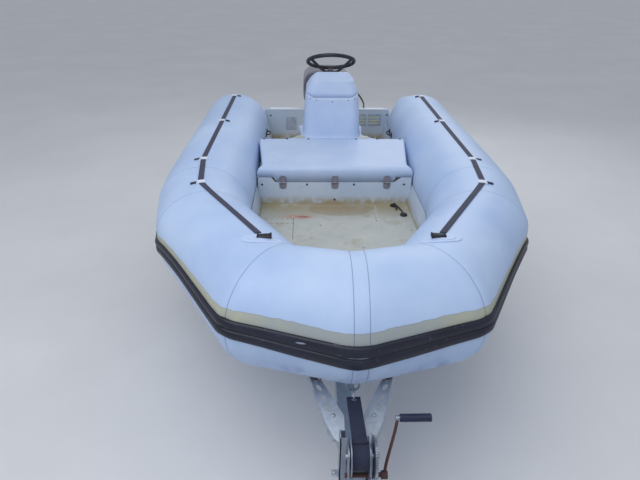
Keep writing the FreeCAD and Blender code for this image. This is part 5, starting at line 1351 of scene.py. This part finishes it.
# from and to as (station, athwart), width; a broken one also has its pieces and their share
DARK_SEAMS = ((1560, -235, 1560, -405, 2.5, 6, 0.55), (1617, -235, 1617, -405, 2.5, 6, 0.55),
              (1547, -238, 1814, -238, 3.0, 14, 0.7))
PALE_SEAMS = ((1377, 236, 1530, 231, 3.0, 1, 1.0), (1560, 230, 1909, 219, 2.5, 5, 0.55),
              (1380, -240, 1380, 236, 2.0, 1, 1.0))
DRAIN_LEAD = ((1390, 337, 712), (1383, 353, 711), (1400, 364, 710), (1419, 371, 710), (1468, 381, 710),
              (1500, 382, 711))
DRAIN_PLUG = ((0, 18), (3, 20), (9, 20), (11, 17), (12, 4))


def floor_strip(x0, y0, x1, y1, wide):
    """A thin strip lying on the deck, from one plan point to another."""
    height = DECK_Z + SEAM_DEPTH / 2 - 0.1
    ends = [at(x0, y0, height), at(x1, y1, height)]
    way = (ends[1] - ends[0]).normalized()
    return ribbon(ends, way.cross(Vector((0, 0, 1))), wide * MM, SEAM_DEPTH * MM)


def floor_seam(x0, y0, x1, y1, wide, count, share):
    """A strip in pieces, each filling a share of its length."""
    strips = []
    for k in range(count):
        a, b = k / count, (k + share) / count
        strips.append(floor_strip(x0 + (x1 - x0) * a, y0 + (y1 - y0) * a,
                                  x0 + (x1 - x0) * b, y0 + (y1 - y0) * b, wide))
    return merged(*strips)


piece("floor_seams", merged(*[floor_seam(*row) for row in DARK_SEAMS]), dark_sealant_and_gap_shade,
      crisp=40)
piece("floor_pale_seam", merged(*[floor_seam(*row) for row in PALE_SEAMS]), dull_seam,
      crisp=40)
lead = sweep([at(*p) for p in DRAIN_LEAD], 0.004, 10)
plug = lathe(DRAIN_PLUG, at(1516, 382, 705.5), (0, 0, 1), 28)
piece("drain_plug_and_lead", merged(lead, plug), bung, crisp=40)
print("floor seams", len(DARK_SEAMS) + len(PALE_SEAMS))

# %% [markdown]
# The transom carries a painted highlight along its top: a pale strip on the top edge where
# light falls. It also carries two black bolts, and three printed plates whose print has faded
# away; they stay blank. Beside the hinges, two dark wedges are painted shade in the gaps where
# the seat's lip stands off the locker. All are thin plates set on the faces that carry them,
# which is how the real plates are fixed.

# %% Transom plates and locker gaps
# the edge caps are a painted highlight: pale strips on the transom's top face and the top of its front
# place in the drawing, size and edge in metres
EDGE_CAPS = tuple(((x, side * 311, z), size, ease) for x, z, size, ease in
                  ((20, 936.2, (0.043, 0.262, 0.004), 0.0015), (40.8, 932.5, (0.002, 0.262, 0.007), 0.0006))
                  for side in (-1, 1))
# athwart, height, width and height of each plate; athwart and width of the banded ones
PLATES = ((-280, 822, 82, 101), (279, 850, 57, 92), (372, 850, 103, 92))
BANDED = ((279, 44), (372, 84))
BAND_HEIGHTS = (826, 848, 872)
TRANSOM_BOLTS = ((-439, 885), (469, 892))
# painted shade in the gaps beside the hinges: corners of each wedge as (athwart, height)
GAP_SHADE_WEDGES = (((-368, 867), (-352, 867), (-333, 837), (-346, 840)),
          ((333, 837), (346, 840), (384, 868), (352, 867)))

plate_rows = [((41, y, z), (0.0022, wide * MM, high * MM), 0.0008) for y, z, wide, high in PLATES]
band_rows = [((42.3, y, z), (0.0006, wide * MM, 0.009), 0.0002) for y, wide in BANDED for z in BAND_HEIGHTS]
bolts = [dome(at(40, y, z), (1, 0, 0), 7.0, 4.0) for y, z in TRANSOM_BOLTS]
gap_shade_plates = [plate([at(1339.6, y, z) for y, z in outline], (0.0012, 0, 0)) for outline in GAP_SHADE_WEDGES]
# painted highlight along the transom's top edge
piece("transom_edge", blocks(EDGE_CAPS), painted_highlight_edge, crisp=40)
piece("transom_plates", blocks(plate_rows), blank_plate, crisp=40)
piece("transom_bolts", merged(*bolts), dark_bolt, crisp=60)
# painted shade: dark wedges in the gaps beside the hinges
piece("locker_gap_painted_shade", merged(*gap_shade_plates), dark_sealant_and_gap_shade, crisp=60)
piece("plate_bands", blocks(band_rows), faded_yellow, crisp=40)
print("plates", len(plate_rows), "bands", len(band_rows))

# %% [markdown]
# The plain solids whose shape is right keep it, and only gain eased edges and a finish. The
# radius of each edge is that of the real piece: wide on mouldings and castings, small on
# hinges, and welded plates and rolled tubes lie between.

# %% Dress the solids
# finish, then each solid and the radius of its edges in mm
DRESSED = (
    (side_gelcoat, ("locker_box", 1.5), ("liner_sides", 1.5), ("liner_bow", 1.5), ("transom", 5.0)),
    (hull_gelcoat, ("hull", 4.0)),
    (deck, ("floor_deck", 0.0)),
    (worn_steel, ("locker_hinges", 0.8), ("seat_hinge_leaves", 0.8)),
    (bung, ("drain_bung", 1.0)),
    (motor_paint, ("motor_clamp", 1.5), ("swivel_bracket", 2.0), ("motor_leg", 3.0),
     ("motor_gearcase", 2.0)),
    (prop_paint, ("propeller", 1.0)),
    (galvanised, ("drawbar", 2.0), ("axle_and_cross_beams", 2.0), ("suspension_arms", 2.0),
     ("mudguard_brackets", 2.0), ("roller_brackets", 2.0), ("bunk_posts", 2.0), ("winch_post", 2.0),
     ("coupling_head", 2.0), ("jockey_tube", 2.0), ("jockey_clamp", 2.0), ("jockey_fork", 2.0)),
    (zinc, ("winch_cheeks", 1.0), ("winch_shackle", 1.0), ("bow_towing_ring", 1.0)),
    (strap_cloth, ("winch_strap", 0.8)),
    (roller_rubber, ("bow_support_pads", 3.0), ("keel_rollers", 3.0)),
    (carpet, ("bunk_boards", 6.0)),
    (guard_plastic, ("mudguards", 1.0)),
    (rim_paint, ("rim_port", 1.0), ("rim_starboard", 1.0)),
    (tyre_rubber, ("jockey_wheel", 2.0)),
)
for material, *rows in DRESSED:
    for node, edge in rows:
        dress(node, material, edge)
print("dressed solids", sum(len(row) - 1 for row in DRESSED))

# %% [markdown]
# Road tyres: the side walls have raised rings, and the tread is three rows of blocks with open
# grooves between. A bump pattern would leave the tyre's outline smooth, so the blocks are real.
# Each wheel has five nuts and a domed cap over its bearing.

# %% Tyres and wheel nuts
TREAD_BLOCKS, BLOCK_HALF, BLOCK_THICK = 58, 9.5, 7.0
# athwart, width and radius of each row of blocks
TREAD_ROWS = ((-35.0, 25.0, 245.5), (0.0, 27.0, 246.5), (35.0, 25.0, 245.5))
TYRE_OUTLINE = ((-58, 128), (-66, 134), (-70, 146), (-72, 148), (-72, 152), (-71.5, 155), (-73, 186),
                (-73, 196), (-70, 212), (-64, 228), (-56, 238), (-49, 242), (-25, 244.5), (0, 245))
NUTS, NUT_CIRCLE, NUT_OUT = 5, 52.0, 4.0
NUT = ((0, 10.5), (8, 10.5), (10, 8), (10.5, 1))
BEARING_CAP = ((20, 36), (40, 33), (47, 25), (50, 12), (50.5, 1))
WHEEL_X, WHEEL_Y, WHEEL_Z = 1000, 720, 250


def tyre(centre):
    half = list(TYRE_OUTLINE)
    outline = half + [(-a, r) for a, r in reversed(half[:-1])] + [half[0]]
    solids = [lathe(outline, centre, (0, 1, 0), 96, caps=False)]
    for row, (athwart, wide, radius) in enumerate(TREAD_ROWS):
        for k in range(TREAD_BLOCKS):
            turn = math.tau * (k + 0.5 * (row % 2)) / TREAD_BLOCKS
            out = Vector((math.cos(turn), 0, math.sin(turn)))
            half_block = Vector((-out.z, 0, out.x)) * (BLOCK_HALF * MM)
            middle = centre + Vector((0, athwart * MM, 0)) + out * (radius * MM)
            solids.append(ribbon([middle - half_block, middle + half_block], (0, 1, 0), wide * MM,
                                 BLOCK_THICK * MM))
    return merged(*solids)


def wheel_nuts(centre, side):
    solids = []
    for k in range(NUTS):
        turn = math.tau * k / NUTS
        place = Vector((NUT_CIRCLE * math.cos(turn), side * NUT_OUT, NUT_CIRCLE * math.sin(turn))) * MM
        solids.append(lathe(NUT, centre + place, (0, side, 0), 6))
    solids.append(lathe(BEARING_CAP, centre, (0, side, 0), 32))
    return merged(*solids)


for side, name in ((1, "port"), (-1, "starboard")):
    hub = at(WHEEL_X, side * WHEEL_Y, WHEEL_Z)
    piece("road_tyre_" + name, tyre(hub), tyre_rubber, "wheel_" + name,
          stands_for=("tyre_" + name,), crisp=30)
    piece("wheel_nuts_" + name, wheel_nuts(hub, side), zinc, "wheel_" + name, crisp=30)
print("tyres with", TREAD_BLOCKS * len(TREAD_ROWS), "tread blocks each")

# %% [markdown]
# Two pressed plates carry the bow's rubber pads. Each has three oval holes and a turned-down
# edge, and is tied to the winch post by a gusset. The holes could be cut with a boolean, but
# that leaves ragged faces; a plate in strips, some with a ring of faces round their hole, stays
# clean. Only the starboard one is drawn; the other is its mirror image.

# %% Bow support arms
ARM_UP = Vector((0.379, -0.03, 0.925))
ARM_THICK = ARM_UP * -0.004
# the plate's outer and inner edges, from the pad to the post, and the tongue beyond them
OUTER, OUTER_END = at(2732, -160, 602), at(2900, -103, 535)
INNER, INNER_END = at(2752, -112, 594), at(2880, -36, 546)
TONGUE_OUT, TONGUE_IN = at(2958, -72, 511), at(2986, -34, 500)
ARM_CUTS, HOLED_STRIPS = (0.0, 0.12, 0.38, 0.62, 0.86, 1.0), (1, 2, 3)
HOLE_LONG, HOLE_WIDE, HOLE_ASIDE = 0.014, 0.010, 0.42
TURNED_EDGE, EDGE_THICK = Vector((-0.1, -0.45, -0.89)) * 0.017, Vector((0, 0.9, -0.3)) * 0.0035


def support_arm():
    solids = []
    for k, (a, b) in enumerate(zip(ARM_CUTS, ARM_CUTS[1:])):
        corners = (OUTER.lerp(OUTER_END, a), INNER.lerp(INNER_END, a),
                   INNER.lerp(INNER_END, b), OUTER.lerp(OUTER_END, b))
        if k in HOLED_STRIPS:
            solids.append(holed_plate(corners, ARM_THICK, HOLE_LONG, HOLE_WIDE, HOLE_ASIDE))
        else:
            solids.append(plate(corners, ARM_THICK))
    solids.append(plate((OUTER_END, INNER_END, TONGUE_IN, TONGUE_OUT), ARM_THICK))
    edge = [OUTER, OUTER.lerp(OUTER_END, 0.5), OUTER_END, TONGUE_OUT]
    for a, b in zip(edge, edge[1:]):
        solids.append(plate((a, b, b + TURNED_EDGE, a + TURNED_EDGE), EDGE_THICK))
    # the gusset down to the post, and the flange that closes it
    gusset = (OUTER_END, TONGUE_OUT, at(3004, -37, 424), at(2952, -37, 440))
    flange = (TONGUE_OUT, TONGUE_IN, at(3010, -36, 424), at(3004, -40, 424))
    solids += [plate(gusset, (0, 0.0035, 0)), plate(flange, (0.0035, 0, 0.001))]
    for share in (0.05, 0.93):
        place = OUTER.lerp(OUTER_END, share).lerp(INNER.lerp(INNER_END, share), 0.5)
        solids.append(dome(place, ARM_UP, 8.0, 4.5))
    return merged(*solids)


# %% Bow support head
# blocks on the post: place in the drawing, size and edge in metres
HEAD_BLOCKS = (((3011, 0, 474), (0.122, 0.060, 0.008), 0.002),
               ((2975, 0, 489), (0.034, 0.066, 0.028), 0.003))
# the folded bracket beside it: corners of each sheet, and its thickness
BRACKET = (
    (((3012, -62, 410), (3012, -62, 612), (3030, -62, 632), (3070, -62, 632), (3070, -62, 410)),
     (0, 0.004, 0)),
    (((3066, -62, 410), (3066, -62, 632), (3066, -40, 632), (3066, -40, 410)), (0.004, 0, 0)),
    (((3012, -62, 410), (3012, -62, 612), (3012, -40, 612), (3012, -40, 410)), (0.004, 0, 0)),
)
BRACKET_FOOT = (((3046, -74, 446), (0.030, 0.024, 0.006), 0.002),)

sheets = [plate([at(*p) for p in corners], thick) for corners, thick in BRACKET]
foot_bolt = dome(at(3046, -76, 449), (0, 0, 1), 7.0, 5.0)
head = merged(blocks(HEAD_BLOCKS), *sheets, blocks(BRACKET_FOOT), foot_bolt)
piece("bow_support_plates", merged(both_sides(support_arm()), head), galvanised,
      stands_for=("bow_support_arms",), crisp=35)
print("bow support", len(HOLED_STRIPS), "holes in each arm")

# %% [markdown]
# The winch has a toothed gear wheel beside its drum and a pinion on the crank's shaft. The
# drum is full of strap: laid turn on turn it would be thousands of faces that nobody sees, so
# it is one turned outline with a ridge for each edge of the strap. The crank is thin rusty rod,
# bent outward, with a ribbed rubber grip.

# %% Winch helpers and drum
WINCH = at(3100.0, 0.0, 586.0)
SHAFT = at(3100.0, 0.0, 499.0)
ATHWART = (0, 1, 0)
GEAR_SPAN = (44.0, 52.0)
WINDING_HALF, WINDING_RIDGES = 26.5, 44


def gear(centre, span, outer, root, teeth):
    """A toothed disc between two athwart stations, with radii in mm."""
    outline = []
    for k in range(teeth * 4):
        radius = outer if k % 4 in (1, 2) else root
        a = math.tau * k / (teeth * 4)
        outline.append(Vector((radius * MM * math.cos(a), 0, radius * MM * math.sin(a))))
    return prism(outline, centre + Vector((0, span[0] * MM, 0)), Vector((0, (span[1] - span[0]) * MM, 0)))


def spool():
    """Both flanges, the shaft and the gear wheel."""
    solids = [gear(WINCH, GEAR_SPAN, 71.0, 67.0, 56)]
    for low, high in ((-31.0, -27.5), (27.5, 31.0)):
        flange = ((low, 12), (low, 61), (low + 0.8, 62), (high - 0.8, 62), (high, 61), (high, 12))
        solids.append(lathe(flange, WINCH, ATHWART, 64))
    solids.append(lathe([(-46, 7), (-45, 9), (63, 9), (64, 7)], WINCH, ATHWART, 24))
    solids.append(lathe([(52, 22), (58, 20), (59, 9)], WINCH, ATHWART, 6))
    return merged(*solids)


def windings():
    outline = [(-27.4, 20.0), (-27.4, 45.0)]
    for k in range(WINDING_RIDGES + 1):
        across = -WINDING_HALF + 2 * WINDING_HALF * k / WINDING_RIDGES
        outline.append((across, 45.9 if k % 4 in (1, 2) else 44.6))
    return lathe(outline + [(27.4, 45.0), (27.4, 20.0)], WINCH, ATHWART, 72)


# %% Crank and grip
CRANK_ROD = ((3100, 84, 486), (3100, 84, 499), (3090, 90, 545), (3076, 102, 600), (3060, 115, 655),
             (3050, 122, 700))
CRANK_BAR = 5.2
GRIP_RIBS = 48


def crank():
    return merged(
        sweep([at(*p) for p in CRANK_ROD], CRANK_BAR * MM, 14),
        lathe([(-46, 6), (-45, 8), (90, 8), (91, 6)], SHAFT, ATHWART, 20),
        gear(SHAFT, GEAR_SPAN, 14.0, 11.0, 11),
        lathe([(74, 8), (74, 14), (94, 14), (95, 12), (95, 3)], SHAFT, ATHWART, 24),
    )


def grip():
    outline = [(0, 7), (1, 12)]
    for k in range(GRIP_RIBS):
        outline.append((3 + 2 * k, 13.6 if k % 2 else 12.6))
    return lathe(outline + [(100, 13.8), (103, 12), (104, 6)], at(3050, 127, 700), ATHWART, 32)


piece("winch_spool", spool(), zinc, "winch_drum", stands_for=("winch_drum",), crisp=30)
piece("winch_windings", windings(), strap_cloth, "winch_drum", crisp=60)
piece("winch_crank_rod", crank(), rusty_steel, "winch_crank",
      stands_for=("winch_crank",), crisp=35)
piece("winch_crank_grip", grip(), grip_rubber, "winch_crank", crisp=50)
rod_end = lathe([(-9, 4), (-8, 8), (5, 8), (6, 6)], at(3050, 122, 700), ATHWART, 24)
piece("winch_crank_end", rod_end, zinc, "winch_crank", crisp=40)
print("winch", WINDING_RIDGES, "ridges on the drum,", GRIP_RIBS, "ribs on the grip")

# %% [markdown]
# The steering cable is a push-pull cable in a black jacket. It leaves the console's back, lies
# in one easy curve, and screws into the tilt tube. So a smooth spline is laid along the
# drawing's points, read back as points, and the jacket is swept along them.

# %% Steering cable
CABLE_DIAMETER = 0.012
# stations, places off the middle and heights of the route's points
CABLE_ROUTE = (
    (545.0, 105.0, 1150.0), (460.0, 108.0, 1160.0), (370.0, 128.0, 1165.0), (285.0, 168.0, 1148.0),
    (205.0, 212.0, 1102.0), (130.0, 250.0, 1045.0), (55.0, 278.0, 992.0), (-20.0, 292.0, 950.0),
    (-75.0, 292.0, 905.0), (-100.0, 272.0, 850.0), (-88.0, 222.0, 815.0), (-60.0, 168.0, 812.0),
    (-42.0, 112.0, 815.0),
)


def spline_points(route):
    """Points read from a smooth spline that has the route's points as its control points."""
    curve = bpy.data.curves.new("cable_line", "CURVE")
    curve.dimensions = "3D"
    line = curve.splines.new("NURBS")
    line.points.add(len(route) - 1)
    for made, point in zip(line.points, route):
        made.co = (*at(*point), 1.0)
    line.order_u = 3
    line.use_endpoint_u = True
    line.resolution_u = 10
    holder = bpy.data.objects.new("cable_line", curve)
    mesh = bpy.data.meshes.new_from_object(holder)
    points = [v.co.copy() for v in mesh.vertices]
    bpy.data.objects.remove(holder)
    return points


cable_path = spline_points(CABLE_ROUTE)
cable = piece("steering_cable_jacket", sweep(cable_path, CABLE_DIAMETER / 2, 14), cable_jacket,
              stands_for=("steering_cable",), crisp=60)
tuple(cable_path[0])
print("cable", round(sum((b - a).length for a, b in zip(cable_path, cable_path[1:])), 3), "m")

# %% [markdown]
# The setting is plain: a pale floor, an even sky-like light, and two large soft lamps, one
# high over the bow and a weaker one over the stern. Small lamps would draw hard shadows across
# the pale tube. The levels are low enough that a colour renders about as it is written.

# %% Floor and light
FLOOR_REACH = 30.0
SKY, SKY_STRENGTH = "#E8EDF5", 0.56
# name, place and size in metres, power in watts
LAMPS = (("high_lamp", (2.4, -1.3, 4.3), 3.8, 104.0), ("stern_lamp", (-3.6, 1.4, 3.4), 2.6, 38.0))
LAMP_AIM = Vector((0.2, 0, 0.7))


def pale_floor():
    corners = [(x * FLOOR_REACH, y * FLOOR_REACH, 0) for x, y in ((-1, -1), (1, -1), (1, 1), (-1, 1))]
    mesh = bpy.data.meshes.new("floor")
    mesh.from_pydata(corners, [], [(0, 1, 2, 3)])
    mesh.materials.append(finish("pale_floor", ("#D8DADE", "#DFE1E5"), 900, (0.7, 0.8), 12.0, 0.1))
    floor = bpy.data.objects.new("floor", mesh)
    bpy.context.scene.collection.objects.link(floor)


def soft_light():
    world = bpy.data.worlds.new("soft_sky")
    bpy.context.scene.world = world
    world.use_nodes = True
    sky = world.node_tree.nodes["Background"]
    sky.inputs["Color"].default_value = linear(SKY)
    sky.inputs["Strength"].default_value = SKY_STRENGTH
    for name, place, size, power in LAMPS:
        lamp = bpy.data.lights.new(name, "AREA")
        lamp.size, lamp.energy = size, power
        holder = bpy.data.objects.new(name, lamp)
        holder.location = place
        holder.rotation_mode = "QUATERNION"
        holder.rotation_quaternion = (Vector(place) - LAMP_AIM).to_track_quat("Z", "Y")
        bpy.context.scene.collection.objects.link(holder)


pale_floor()
soft_light()
print("lamps", [row[0] for row in LAMPS])

# %% [markdown]
# The camera stands where the photo was taken from, in front of the bow and above it. It could
# be placed by eye, but its place and turn were solved together with the tube's lines, so that
# the seams fall where they do in the photo. The lens follows from how many pixels a metre
# fills at a distance of one metre.

# %% Camera
PHOTO_WIDTH = 640
FOCAL_PIXELS = 560.0
SENSOR = 36.0
CAMERA_PLACE = Vector((2.7494, -0.1732, 2.0265))
CAMERA_YAW, CAMERA_PITCH, CAMERA_ROLL = -0.0297, 0.476, -0.011


def photo_camera():
    cos_p, sin_p = math.cos(CAMERA_PITCH), math.sin(CAMERA_PITCH)
    ahead = Vector((-cos_p * math.cos(CAMERA_YAW), -cos_p * math.sin(CAMERA_YAW), -sin_p))
    right = Vector((-math.sin(CAMERA_YAW), math.cos(CAMERA_YAW), 0))
    down = ahead.cross(right)
    down = down if down.z < 0 else -down
    cos_r, sin_r = math.cos(CAMERA_ROLL), math.sin(CAMERA_ROLL)
    right, down = right * cos_r + down * sin_r, down * cos_r - right * sin_r
    data = bpy.data.cameras.new("photo_camera")
    data.sensor_width = SENSOR
    data.lens = FOCAL_PIXELS * SENSOR / PHOTO_WIDTH
    camera = bpy.data.objects.new("photo_camera", data)
    turn = Matrix((right, -down, -ahead)).transposed().to_4x4()
    camera.matrix_world = Matrix.Translation(CAMERA_PLACE) @ turn
    bpy.context.scene.collection.objects.link(camera)
    bpy.context.scene.camera = camera


photo_camera()
bpy.context.scene.view_settings.view_transform = "Standard"
print("lens", round(bpy.context.scene.camera.data.lens, 2), "mm")

# %% [markdown]
# The last cell counts the pieces that were made. The dressed model has to stay inside the
# frame's box, apart from a little that fabric may stand proud.

# %% Pieces made
print("pieces", len(made_pieces))
